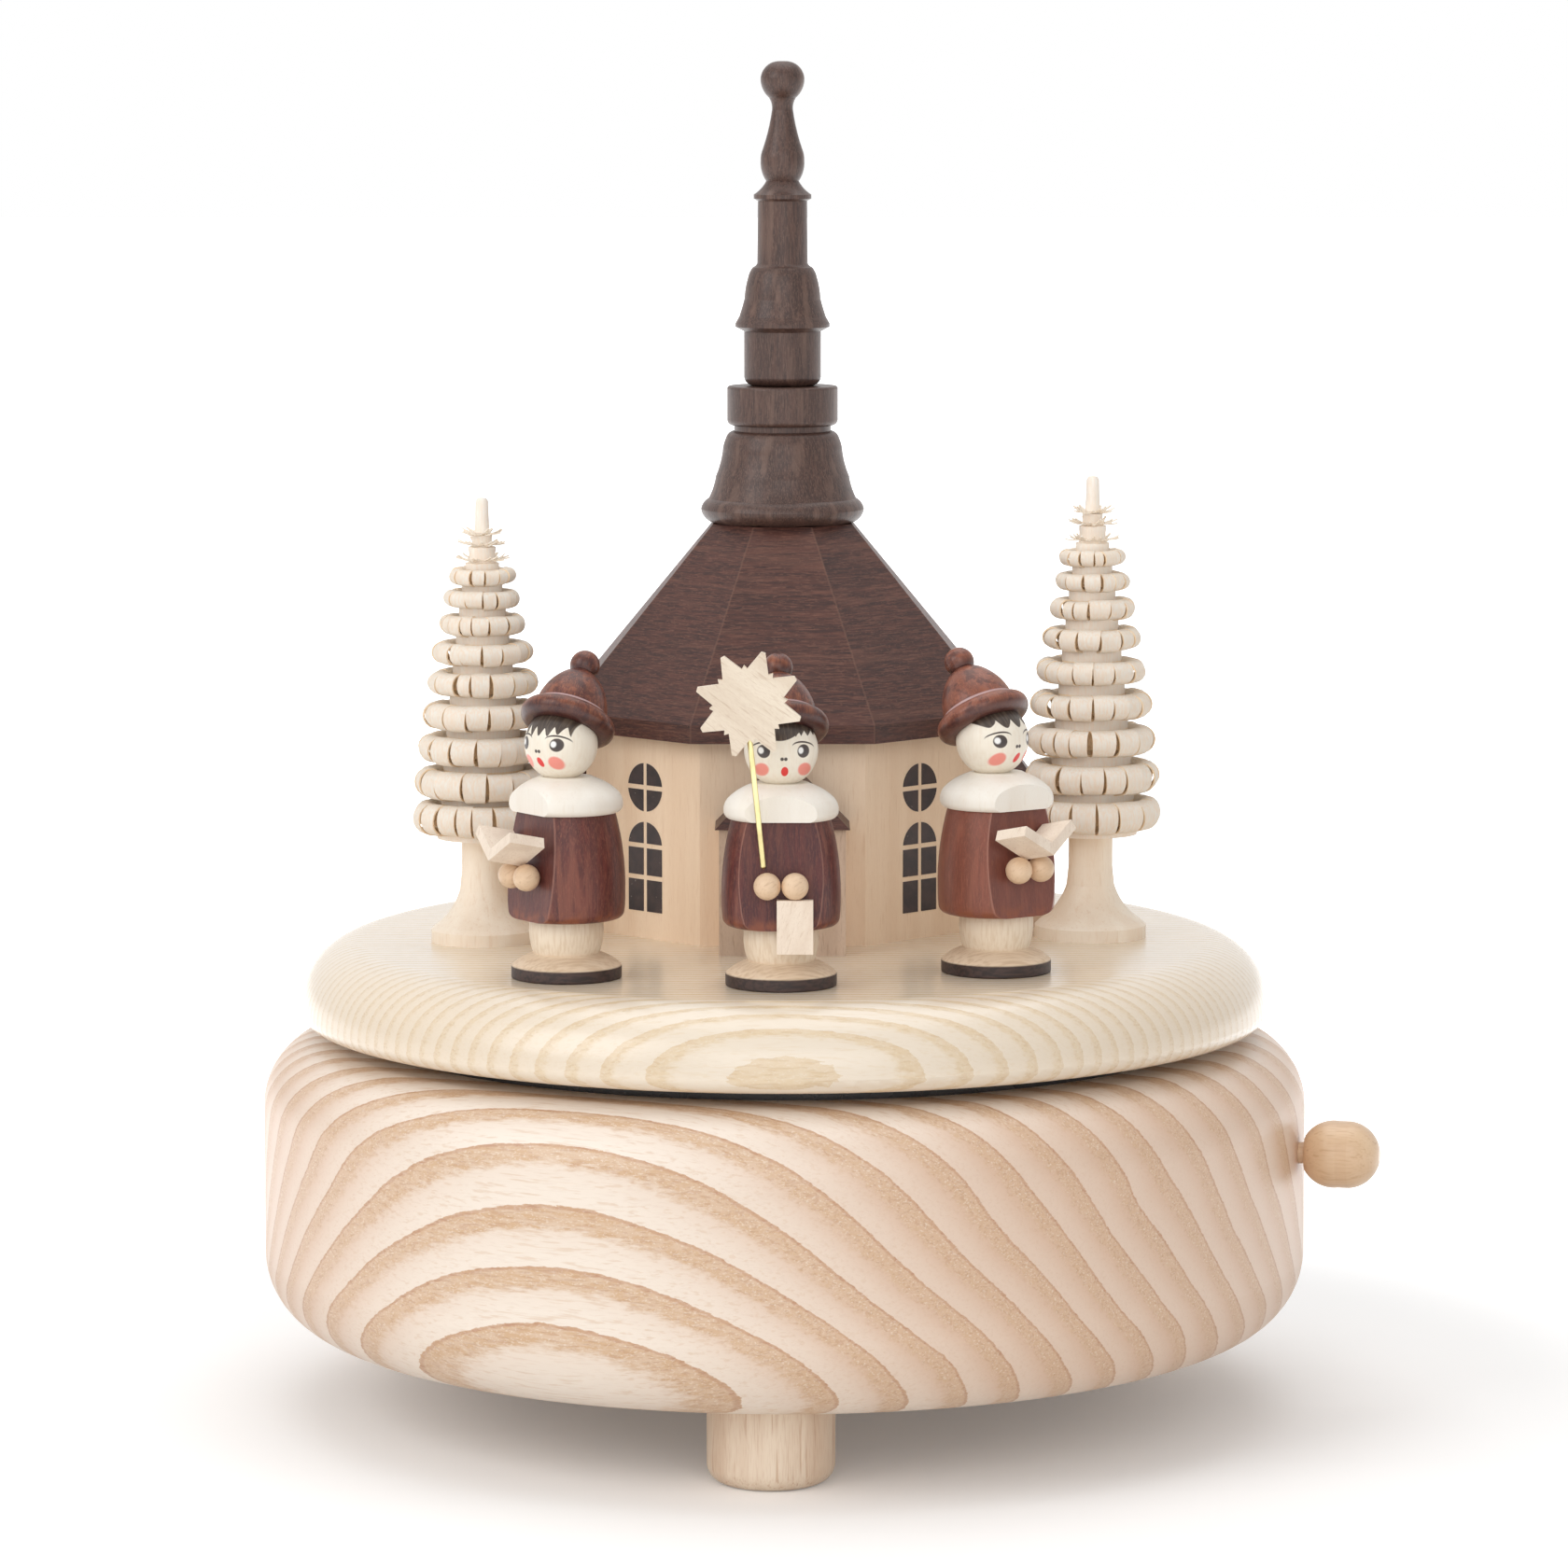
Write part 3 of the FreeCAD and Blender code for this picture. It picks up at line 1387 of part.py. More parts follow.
def make_porches():
    """The four porches and their hipped roofs, one pair on each straight side."""
    blocks = []
    roofs = []
    height = s.porch_top - s.table_top
    for side in range(4):
        rotation = about_z(90.0 * side)
        out = s.wall_apothem
        corner = rotation.multVec(Vector(float(s.porch_width) / -2, float(-out - s.porch_reach), 0))
        blocks.append(block("porch", s.porch_width, s.porch_reach, height,
                            s.church_side + corner.x, s.church_back + corner.y, s.table_top, rotation))
        roof = doc.addObject("Part::Wedge", "porch_roof")
        bind(roof, "Xmin", -s.porch_roof_half)
        bind(roof, "Xmax", s.porch_roof_half)
        bind(roof, "Ymin", 0)
        bind(roof, "Ymax", s.porch_ridge_height)
        bind(roof, "Zmin", 0)
        bind(roof, "Zmax", s.porch_roof_reach)
        bind(roof, "X2min", 0)
        bind(roof, "X2max", 0)
        bind(roof, "Z2min", 0)
        bind(roof, "Z2max", s.porch_ridge_reach)
        stand = rotation.multiply(Rotation(Vector(1, 0, 0), 90))
        foot = rotation.multVec(Vector(0, float(-out), 0))
        roofs.append(put(roof, s.church_side + foot.x, s.church_back + foot.y, s.porch_top, stand))
    keep("porch_walls", group("porch_walls", blocks))
    keep("porch_roofs", group("porch_roofs", roofs))


def make_spire():
    """The turned spire: bell, disc and pinnacle, joined by spigots."""
    base = s.roof_top
    foot = s.bell_foot_radius
    bell_top = base + s.bell_height
    spigot = s.spigot_radius
    plug = s.spigot_radius * 2 - s.fit_gap
    bell = turned("spire_bell", [
        (0, base - s.spigot_length),
        (plug, base - s.spigot_length),
        (plug, base),
        (foot - 1.6, base),
        (foot, base + 1.75, 2.0),
        (foot - 1.0, base + 3.1, 1.9),
        (foot - 1.9, base + 5.9, -9.0),
        (foot - 2.75, base + 9.0, -12.0),
        (foot - 3.2, base + 10.8, 5.0),
        (foot - 4.25, base + 11.7, 1.2),
        (foot - 4.25, bell_top),
        (spigot, bell_top),
        (spigot, bell_top - s.spigot_length),
        (0, bell_top - s.spigot_length),
    ])
    disc_top = bell_top + s.disc_height
    edge = 0.7
    disc = turned("spire_disc", [
        (spigot, bell_top),
        (s.disc_radius - edge, bell_top),
        (s.disc_radius, bell_top + edge, edge),
        (s.disc_radius, disc_top - edge / 2),
        (s.disc_radius - edge / 2, disc_top, edge / 2),
        (spigot, disc_top),
    ])
    drum = s.drum_radius
    lip = s.drum_lip_radius
    stem = s.stem_radius
    drum_top = disc_top + s.drum_height
    skirt_top = drum_top + s.skirt_height
    stem_top = skirt_top + s.stem_height
    waist = stem_top + s.stem_lip_height
    pear_top = waist + s.pear_height
    ball_low = pear_top + s.finial_neck_height
    ball_top = ball_low + s.finial_ball_height
    ball_radius = s.finial_ball_radius
    pinnacle = turned("spire_pinnacle", [
        (0, bell_top - s.spigot_length + s.fit_gap),
        (spigot - s.fit_gap, bell_top - s.spigot_length + s.fit_gap),
        (spigot - s.fit_gap, disc_top),
        (drum - 1.3, disc_top),
        (drum, disc_top + 1.1, 1.3),
        (drum, drum_top),
        (lip, drum_top + 0.6),
        (lip, drum_top + 1.0),
        (lip - 0.5, drum_top + 1.9),
        (lip - 1.15, drum_top + 4.1, -30.0),
        (lip - 1.6, drum_top + 6.8, 12.0),
        (s.skirt_top_radius, skirt_top - 0.5, 3.0),
        (stem + 0.1, skirt_top, -1.2),
        (stem, stem_top),
        (s.stem_lip_radius, stem_top + 0.3),
        (s.stem_lip_radius, stem_top + 0.8),
        (s.pear_waist_radius, waist, -4.5),
        (s.pear_radius, waist + 2.6, 4.0),
        (s.pear_radius - 0.25, waist + 4.0, 3.4),
        (s.neck_radius, pear_top, -26.0),
        (s.neck_radius + 0.38, ball_low, -2.5),
        (ball_radius, ball_low + 2.5, ball_radius * 1.1),
        (ball_radius * 0.5, ball_top - 0.2, ball_radius * 0.85),
        (s.finial_ball_flat, ball_top, 3.0),
        (0, ball_top),
    ])
    for label, item in (("spire_bell", bell), ("spire_disc", disc), ("spire_pinnacle", pinnacle)):
        keep(label, put(item, s.church_side, s.church_back, 0))


# The shaving trees

def make_tree(side, x, y, foot_radius, rise):
    """One tree: a turned foot with its trunk and a ringed crown on top."""
    base = s.table_top
    trunk = s.trunk_radius
    crown_low = base + s.trunk_height
    foot = turned(side + "_tree_foot", [
        (0, base),
        (foot_radius, base),
        (foot_radius, base + 1.5),
        (foot_radius - 0.5, base + 2.0),
        (trunk + 0.25, base + 6.6, -8.0),
        (trunk, base + 9.0),
        (trunk, crown_low),
        (0, crown_low),
    ])
    keep(side + "_tree_foot", put(foot, x, y, 0))
    top = base + rise
    crown_top = top - s.tree_stub_length
    height = crown_top - crown_low - s.tree_ring_first
    outline = [(0, crown_low)]
    for ring in range(TREE_RINGS):
        share = ring / (TREE_RINGS - 1)
        middle = crown_low + s.tree_ring_first + height * (1.34 * share - 0.34 * share ** 3)
        half = s.tree_ring_first * (0.62 - 0.42 * share)
        core = s.tree_core_low * (1 - share) + s.tree_core_high * share
        fringe = s.tree_ring_low * (1 - share) + s.tree_ring_high * share
        if ring > 0:
            outline.append((core, middle - half))
        outline.append((fringe, middle - half * 0.6))
        outline.append((fringe, middle + half * 0.6))
        outline.append((core, middle + half))
    outline.append((s.tree_stub_radius, crown_top + s.tree_stub_radius))
    outline.append((s.tree_stub_radius, top))
    outline.append((0, top))
    crown = turned(side + "_tree_crown", outline)
    keep(side + "_tree_crown", put(crown, x, y, 0))


# The carol singers

SINGERS = ("left", "centre", "right")
coat_height = s.collar_bottom - s.coat_bottom
coat_taper = (s.coat_radius - s.coat_top_radius) / coat_height
coat_lean = math.degrees(math.atan(float(coat_taper)))
hand_aside = s.hand_radius + s.hand_spacing / 2


def own(side, name):
    """A size of one singer, such as the turn of the left one's hat."""
    return getattr(s, side + "_" + name)


def stand(side):
    """Where a singer stands and which way it faces."""
    return own(side, "singer_x"), own(side, "singer_y"), about_z(own(side, "singer_turn"))


def front_at(height):
    """How far the coat's flat front is from the singer's axis at a height."""
    return s.coat_radius - s.front_flat - coat_taper * (height - s.coat_bottom)


def hand_reach(side):
    return front_at(own(side, "hand_height")) + s.hand_radius


def on_singer(side, forward, aside=0.0):
    """A place in front of a singer's axis, as x and y on the turntable."""
    x, y, turn = stand(side)
    offset = turn.multVec(Vector(float(dim(aside)), -float(dim(forward)), 0))
    return float(x) + offset.x, float(y) + offset.y


def tipped_back(turn, tilt):
    """Facing the front, then tipped back and turned about the upright axis."""
    return about_z(turn).multiply(Rotation(Vector(1, 0, 0), -float(tilt)))


def make_singer(side):
    """One turned singer of stacked pieces: legs, coat, head and hat."""
    x, y, turn = stand(side)
    base = s.table_top
    foot = s.singer_foot_radius
    coat_low = base + s.coat_bottom
    collar_low = base + s.collar_bottom
    legs = turned(side + "_singer_legs", [
        (0, base),
        (foot - 0.2, base),
        (foot, base + 0.2, 0.2),
        (foot, base + s.singer_foot_ring),
        (foot - 0.35, base + s.singer_foot_ring + 0.3),
        (s.singer_ankle_radius, base + s.singer_foot_height, 6.0),
        (s.singer_leg_radius, base + s.singer_foot_height + 2.6, 9.0),
        (s.singer_leg_radius - 0.1, coat_low, 14.0),
        (0, coat_low),
    ])
    keep(side + "_singer_legs", put(legs, x, y, 0, turn))
    radius = s.coat_radius
    round_low = 1.0
    coat = turned(side + "_coat_turning", [
        (0, coat_low),
        (radius - round_low - 0.1, coat_low),
        (radius - 0.1, coat_low + round_low, round_low),
        (radius, coat_low + 3.0, 14.0),
        (s.coat_top_radius, collar_low, 34.0),
        (0, collar_low),
    ])
    flat = front_cut(side + "_coat_flat", radius, coat_low, coat_lean)
    coat = put(cut(side + "_singer_coat", coat, [flat]), x, y, 0, turn)
    if side == "centre":
        coat = cut("bored_coat", coat, [parts["star_wire"]])
    keep(side + "_singer_coat", coat)
    head_x = x + own(side, "head_aside")
    head_low = collar_low + s.collar_height
    head_middle = head_low + s.head_radius - s.head_seat
    head = turned(side + "_singer_head", head_outline())
    keep(side + "_singer_head", put(head, head_x, y, head_middle, turn))
    hat = turned(side + "_singer_hat", hat_outline())
    tilt = tipped_back(own(side, "hat_turn"), own(side, "hat_tilt"))
    keep(side + "_singer_hat", put(hat, head_x, y, head_middle, tilt))


def front_cut(name, radius, low, lean=0.0):
    """The tool that carves the flat on a singer's front, leaning back with the coat."""
    item = block(name, radius * 2, radius, radius * 4)
    rotation = Rotation(Vector(1, 0, 0), -lean)
    corner = rotation.multVec(Vector(-1, -1, -1) * float(radius))
    return put(item, corner.x, corner.y - (radius - s.front_flat), low + corner.z, rotation)


def head_outline():
    """A ball about its middle, with a flat seat on the collar."""
    radius = s.head_radius
    seat = radius - s.head_seat
    return [
        (0, -seat),
        (remaining_side(radius, seat), -seat),
        (radius, 0, radius),
        (0, radius, radius),
    ]


def hat_outline():
    """The hat about the head's middle: a hollow for the head, a rolled brim, a dome and a pompom."""
    brim = s.hat_brim_radius
    low = s.hat_seat
    roll = s.hat_brim_height / 2
    hollow = s.head_radius + s.fit_gap
    dome = brim - roll - s.hat_crease
    dome_low = low + s.hat_brim_height - s.hat_crease_depth
    dome_top = dome_low + s.hat_dome_height
    pom = s.pompom_radius
    neck = s.pompom_neck
    pom_middle = dome_top + s.pompom_rise
    return [
        (0, hollow),
        (remaining_side(hollow, low), low, -hollow),
        (brim - roll, low),
        (brim, low + roll, roll),
        (brim - roll, low + roll * 2, roll),
        (dome, dome_low),
        (dome * 0.55, dome_top - s.hat_dome_height * 0.175, dome * 1.6),
        (neck, pom_middle - remaining_side(pom, neck), dome * 0.78),
        (pom, pom_middle, pom),
        (0, pom_middle + pom, pom),
    ]


def make_collars():
    """The three identical white collars."""
    collars = []
    low = s.table_top + s.collar_bottom
    top = low + s.collar_height
    radius = s.collar_radius
    for side in SINGERS:
        ring = turned("collar_turning", [
            (0, low),
            (radius - 0.5, low),
            (radius, low + 0.9, 0.9),
            (radius - 0.5, low + 2.3, 2.0),
            (s.collar_neck_radius + 0.4, top - 0.2, 7.0),
            (s.collar_neck_radius, top),
            (0, top),
        ])
        flat = front_cut("collar_flat", radius, low)
        collars.append(put(cut("collar", ring, [flat]), *stand(side)[:2], 0, stand(side)[2]))
    keep("singer_collars", group("singer_collars", collars))


def make_hands():
    """The six beads that are the singers' hands, glued to the coats' flats."""
    hands = []
    for side in SINGERS:
        height = s.table_top + own(side, "hand_height")
        for hand in (-1, 1):
            hand_x, hand_y = on_singer(side, hand_reach(side), hand_aside * hand)
            hands.append(ball("hand", s.hand_radius, hand_x, hand_y, height))
    keep("singer_hands", group("singer_hands", hands))


def make_open_book(side):
    """The open book of an outer singer: two boards that meet at the spine and lie on the hands."""
    board = s.book_board
    thick = s.book_thickness
    opening = math.radians(float(s.book_opening))
    tilt = math.radians(float(s.book_tilt))
    over, up = board * math.cos(opening), board * math.sin(opening)
    across, rise = thick * math.sin(opening), thick * math.cos(opening)
    book = upright_plate(side + "_book", [
        (0, 0),
        (over, up),
        (over - across, up + rise),
        (0, thick / math.cos(opening)),
        (across - over, up + rise),
        (-over, up),
    ], s.book_depth)
    book_x, book_y = on_singer(side, hand_reach(side) + s.book_overhang)
    above = (s.hand_radius + s.book_gap) / math.cos(opening) - hand_aside * math.tan(opening)
    low = s.table_top + own(side, "hand_height") + above + s.book_overhang * math.sin(tilt)
    turn = tipped_back(own(side, "book_turn"), s.book_tilt)
    keep(side + "_singer_book", put(book, book_x, book_y, low, turn))


def make_booklet():
    """The closed booklet that hangs from the middle singer's left hand."""
    width, height, thick = s.booklet_width, s.booklet_height, s.booklet_thickness
    forward = hand_reach("centre") + thick / 2
    spot_x, spot_y = on_singer("centre", forward, hand_aside - width / 2)
    top = s.table_top + s.centre_hand_height - s.hand_radius
    item = block("centre_booklet", width, thick, height, spot_x, spot_y, top - height)
    keep("centre_singer_book", item)


def make_star():
    """The star of the middle singer and the bent brass wire that holds it up."""
    radius = s.star_wire_radius
    front = front_at(s.star_wire_height)
    level = s.table_top + s.star_wire_height
    side = "centre"
    facing = stand(side)[2]
    foot_x, foot_y = on_singer(side, front - s.star_wire_depth, -s.star_wire_aside)
    bend_x, bend_y = on_singer(side, front + s.star_wire_bend, -s.star_wire_aside)
    star_x, star_y = on_singer(side, s.star_reach, -s.star_wire_aside - s.star_lean)
    star_z = s.table_top + s.star_height
    bend = Vector(bend_x, bend_y, float(level))
    rise = Vector(star_x, star_y, float(star_z - s.star_waist + s.star_wire_seat)) - bend
    forward = facing.multiply(Rotation(Vector(1, 0, 0), 90))
    wire = fused("star_wire", [
        rod("wire_foot", radius, s.star_wire_depth + s.star_wire_bend, foot_x, foot_y, level, forward),
        ball("wire_bend", radius, bend_x, bend_y, level),
        rod("wire_pole", radius, rise.Length, bend_x, bend_y, level, Rotation(Vector(0, 0, 1), rise)),
    ])
    keep("star_wire", wire)
    corners = []
    step = 2 * math.pi / STAR_TIPS
    half = float(s.star_tip_width / s.star_tip) / 2
    shares = ((-half, s.star_tip), (half, s.star_tip), (step * 0.4, s.star_waist),
              (step * 0.5, s.star_small_tip), (step * 0.6, s.star_waist))
    for tip in range(STAR_TIPS):
        for share, radius in shares:
            angle = math.radians(float(s.star_first_tip)) + step * tip + share
            corners.append((radius * math.cos(angle), radius * math.sin(angle)))
    star = upright_plate("star_plate", corners, s.star_thickness)
    put(star, star_x, star_y, star_z, facing)
    keep("star", cut("star", star, [wire]))


make_body_shell()
make_feet()
make_bottom_plate()
make_cover_screws()
make_stop_rod()
make_bedplate()
make_movement_screws()
make_winding()
make_pawl()
make_barrel()
make_mainspring()
make_spindle()
make_crown_wheel()
make_note_cylinder()
make_cylinder_gears()
make_governor_wheel()
make_governor_worm()
make_fan()
make_comb()
make_bridge()
make_governor_frame()
make_bush_and_ring()
make_hub()
make_turntable()
make_church_walls()
make_church_roof()
make_porches()
make_spire()
make_tree("right", s.right_tree_x, s.right_tree_y, s.right_tree_foot, s.right_tree_rise)
make_tree("left", s.left_tree_x, s.left_tree_y, s.left_tree_foot, s.left_tree_rise)

make_star()
for side in SINGERS:
    make_singer(side)
make_collars()
make_hands()
make_open_book("left")
make_open_book("right")
make_booklet()

doc.recompute()
faults = []
for item in doc.Objects:
    if "Invalid" in item.State or "Error" in item.State:
        faults.append(item.Name)
for label, item in parts.items():
    shape = item.Shape
    if shape.isNull() or not shape.isValid() or not shape.Solids:
        faults.append(label)
if faults:
    raise ValueError("these objects failed: " + ", ".join(faults))

os.makedirs("parts", exist_ok=True)
for label, item in parts.items():
    item.Shape.exportStep(os.path.join("parts", label + ".step"))
print(len(parts), "sub-parts")
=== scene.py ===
import math
import random

import bpy
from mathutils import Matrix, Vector

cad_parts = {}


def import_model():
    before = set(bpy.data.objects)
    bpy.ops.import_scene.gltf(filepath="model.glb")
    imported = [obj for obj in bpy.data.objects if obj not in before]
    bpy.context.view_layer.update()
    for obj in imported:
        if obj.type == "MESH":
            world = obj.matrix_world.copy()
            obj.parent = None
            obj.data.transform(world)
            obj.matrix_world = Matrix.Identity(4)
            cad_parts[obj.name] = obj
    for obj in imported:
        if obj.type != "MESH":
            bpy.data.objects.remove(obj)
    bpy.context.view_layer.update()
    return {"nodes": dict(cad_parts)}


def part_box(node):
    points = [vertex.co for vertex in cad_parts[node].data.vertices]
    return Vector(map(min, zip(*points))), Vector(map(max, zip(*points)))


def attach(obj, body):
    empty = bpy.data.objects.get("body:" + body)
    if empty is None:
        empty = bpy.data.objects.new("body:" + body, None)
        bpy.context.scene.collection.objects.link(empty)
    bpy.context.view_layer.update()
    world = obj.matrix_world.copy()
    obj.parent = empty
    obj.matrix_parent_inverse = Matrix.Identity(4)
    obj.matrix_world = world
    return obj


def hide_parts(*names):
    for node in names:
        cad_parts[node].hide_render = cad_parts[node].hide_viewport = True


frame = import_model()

# The frame is in metres, and sizes below are in millimetres where nothing else is said

MM = 0.001
nodes = frame["nodes"]


def srgb(red, green, blue):
    """A colour given as it looks on screen, from 0 to 255, turned into the renderer's own scale."""
    def part(value):
        share = value / 255
        return share / 12.92 if share <= 0.04045 else ((share + 0.055) / 1.055) ** 2.4
    return (part(red), part(green), part(blue), 1.0)


def low_high(node):
    """Lowest and highest corner of a part of the frame, in millimetres."""
    low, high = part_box(node)
    return low / MM, high / MM


# Node graphs

COAT_ROUGHNESS = 0.25
MIX_FIRST = 6
MIX_SECOND = 7
MIX_RESULT = 2


class Graph:
    """One material's node graph, made of plain numbers and sockets. Places are in millimetres."""

    def __init__(self, name, roughness=0.5, metallic=0.0, coat=0.0, specular=0.5):
        self.material = bpy.data.materials.new(name)
        self.material.use_nodes = True
        self.tree = self.material.node_tree
        self.shader = self.tree.nodes["Principled BSDF"]
        self.shader.inputs["Roughness"].default_value = roughness
        self.shader.inputs["Metallic"].default_value = metallic
        self.shader.inputs["Coat Weight"].default_value = coat
        self.shader.inputs["Coat Roughness"].default_value = COAT_ROUGHNESS
        self.shader.inputs["Specular IOR Level"].default_value = specular
        coordinates = self.tree.nodes.new("ShaderNodeTexCoord")
        self.place = self.scaled(coordinates.outputs["Object"], 1 / MM)
        self.normal = coordinates.outputs["Normal"]

    def feed(self, socket, value):
        if isinstance(value, bpy.types.NodeSocket):
            self.tree.links.new(value, socket)
        else:
            socket.default_value = value

    def math(self, operation, *values):
        made = self.tree.nodes.new("ShaderNodeMath")
        made.operation = operation
        for socket, value in zip(made.inputs, values):
            self.feed(socket, value)
        return made.outputs[0]

    def add(self, *values):
        total = values[0]
        for value in values[1:]:
            total = self.math("ADD", total, value)
        return total

    def times(self, *values):
        total = values[0]
        for value in values[1:]:
            total = self.math("MULTIPLY", total, value)
        return total

    def most(self, *values):
        total = values[0]
        for value in values[1:]:
            total = self.math("MAXIMUM", total, value)
        return total

    def flip(self, value):
        return self.math("SUBTRACT", 1.0, value)

    def vector(self, operation, *values):
        made = self.tree.nodes.new("ShaderNodeVectorMath")
        made.operation = operation
        for socket, value in zip(made.inputs, values):
            self.feed(socket, value)
        return made.outputs["Value"] if operation in ("DOT_PRODUCT", "LENGTH") else made.outputs[0]

    def scaled(self, vector, factor):
        made = self.tree.nodes.new("ShaderNodeVectorMath")
        made.operation = "SCALE"
        self.feed(made.inputs[0], vector)
        self.feed(made.inputs["Scale"], factor)
        return made.outputs[0]

    def dot(self, vector, direction):
        return self.vector("DOT_PRODUCT", vector, direction)

    def combine(self, x, y, z):
        made = self.tree.nodes.new("ShaderNodeCombineXYZ")
        for socket, value in zip(made.inputs, (x, y, z)):
            self.feed(socket, value)
        return made.outputs[0]

    def separate(self, vector):
        made = self.tree.nodes.new("ShaderNodeSeparateXYZ")
        self.feed(made.inputs[0], vector)
        return made.outputs

    def smooth(self, value, low, high):
        """0 below low, 1 above high and a soft step between them."""
        made = self.tree.nodes.new("ShaderNodeMapRange")
        made.interpolation_type = "SMOOTHSTEP"
        for label, item in {"Value": value, "From Min": low, "From Max": high}.items():
            self.feed(made.inputs[label], item)
        return made.outputs[0]

    def noise(self, vector, scale=1.0, detail=2.0, roughness=0.5):
        made = self.tree.nodes.new("ShaderNodeTexNoise")
        wanted = {"Vector": vector, "Scale": scale, "Detail": detail, "Roughness": roughness}
        for label, item in wanted.items():
            self.feed(made.inputs[label], item)
        return made.outputs[0]

    def mix(self, share, first, second):
        made = self.tree.nodes.new("ShaderNodeMix")
        made.data_type = "RGBA"
        self.feed(made.inputs[0], share)
        self.feed(made.inputs[MIX_FIRST], first)
        self.feed(made.inputs[MIX_SECOND], second)
        return made.outputs[MIX_RESULT]

    def height(self):
        return self.separate(self.place)[2]

    def along(self, fibre, stretch):
        """The place seen along a fibre: squeezed by stretch in the fibre's direction."""
        forward = Vector(fibre).normalized()
        side = forward.orthogonal().normalized()
        third = forward.cross(side)
        parts = [self.dot(self.place, tuple(axis)) for axis in (forward, side, third)]
        return self.combine(self.times(parts[0], 1 / stretch), parts[1], parts[2])

    def ellipse(self, across, up, centre, half, soft=0.12):
        """1 inside an ellipse of the plane (across, up), 0 outside."""
        x = self.times(self.add(across, -centre[0]), 1 / half[0])
        y = self.times(self.add(up, -centre[1]), 1 / half[1])
        reach = self.vector("LENGTH", self.combine(x, y, 0.0))
        return self.flip(self.smooth(reach, 1 - soft, 1 + soft))

    def finish(self, colour, relief, depth, roughness=None):
        """Wires the colour, and a relief of the given depth in millimetres."""
        self.feed(self.shader.inputs["Base Color"], colour)
        if roughness is not None:
            self.feed(self.shader.inputs["Roughness"], roughness)
        made = self.tree.nodes.new("ShaderNodeBump")
        made.inputs["Strength"].default_value = 1.0
        made.inputs["Distance"].default_value = depth * MM
        self.feed(made.inputs["Height"], relief)
        self.tree.links.new(made.outputs[0], self.shader.inputs["Normal"])
        return self.material


# Woods: reliefs are in millimetres, and noise scales count features in a millimetre

UPRIGHT = (0, 0, 1)
LEVEL = (1, 0, 0)
PORE_DEPTH = 0.02
FLECK_DEPTH = 0.015
STAIN_DEPTH = 0.02
FINE_DEPTH = 0.01


def ringed_wood(name, field, fibre, tones, line_share, line_strength, band_share, sway,
                roughness, coat):
    """Open grained wood with growth rings.

    A thin line lies at each whole number of the field, and a porous band on the side before it.
    Where the fibre meets the surface end on, the wood is darker and its pores are dots.
    """
    light, warm, porous, line = tones
    graph = Graph(name, roughness=roughness, coat=coat)
    end_on = graph.smooth(graph.math("ABSOLUTE", graph.dot(graph.normal, fibre)), 0.05, 0.80)

    slow = graph.add(graph.noise(graph.along(fibre, 3), 0.06, 2.0), -0.5)
    ragged = graph.add(graph.noise(graph.along(fibre, 3), 1.8, 3.0, 0.6), -0.5)
    rings = graph.add(field(graph), graph.times(slow, sway * 2), graph.times(ragged, sway * 0.4))
    inside = graph.math("FRACT", rings)

    mottle = graph.noise(graph.along(fibre, 5), 1.7, 3.0, 0.65)
    edge = graph.add(inside, graph.times(graph.add(mottle, -0.5), 0.40))
    band = graph.smooth(edge, 1 - band_share * 1.20, 1 - band_share * 0.65)
    patchy = graph.add(0.70, graph.times(graph.smooth(mottle, 0.40, 0.62), 0.30))
    line_start = graph.smooth(inside, 1 - line_share * 1.5, 1 - line_share * 0.8)
    line_end = graph.flip(graph.smooth(inside, 0.985, 1.0))
    ring_line = graph.times(line_start, line_end)

    grit = graph.smooth(graph.noise(graph.along(fibre, 2), 5.0, 2.0, 0.6), 0.54, 0.68)
    dash = graph.smooth(graph.noise(graph.along(fibre, 14), 2.6, 2.0, 0.6), 0.54, 0.68)
    pore = graph.smooth(graph.noise(graph.along(fibre, 9), 3.6, 1.0, 0.5), 0.55, 0.66)

    before_band = graph.smooth(inside, 0.10, 0.70)
    warmth = graph.times(before_band, graph.add(0.20, graph.times(end_on, 0.60)))
    colour = graph.mix(warmth, light, warm)
    colour = graph.mix(graph.times(end_on, 0.60), colour, warm)
    dashes = graph.times(dash, 0.35, graph.flip(graph.times(end_on, 0.6)))
    colour = graph.mix(dashes, colour, porous)
    patches = graph.times(band, patchy, graph.flip(graph.times(end_on, 0.35)))
    colour = graph.mix(patches, colour, porous)
    colour = graph.mix(graph.times(band, grit, 0.5), colour, light)
    pores = graph.times(pore, graph.add(0.06, graph.times(band, 0.24)))
    colour = graph.mix(pores, colour, line)
    dotted = graph.add(0.7, graph.times(pore, 0.3))
    colour = graph.mix(graph.times(ring_line, dotted, line_strength), colour, line)

    sunk_pores = graph.times(pore, graph.add(0.3, band))
    sunk = graph.most(sunk_pores, graph.times(ring_line, 0.4))
    return graph.finish(colour, graph.flip(sunk), PORE_DEPTH)


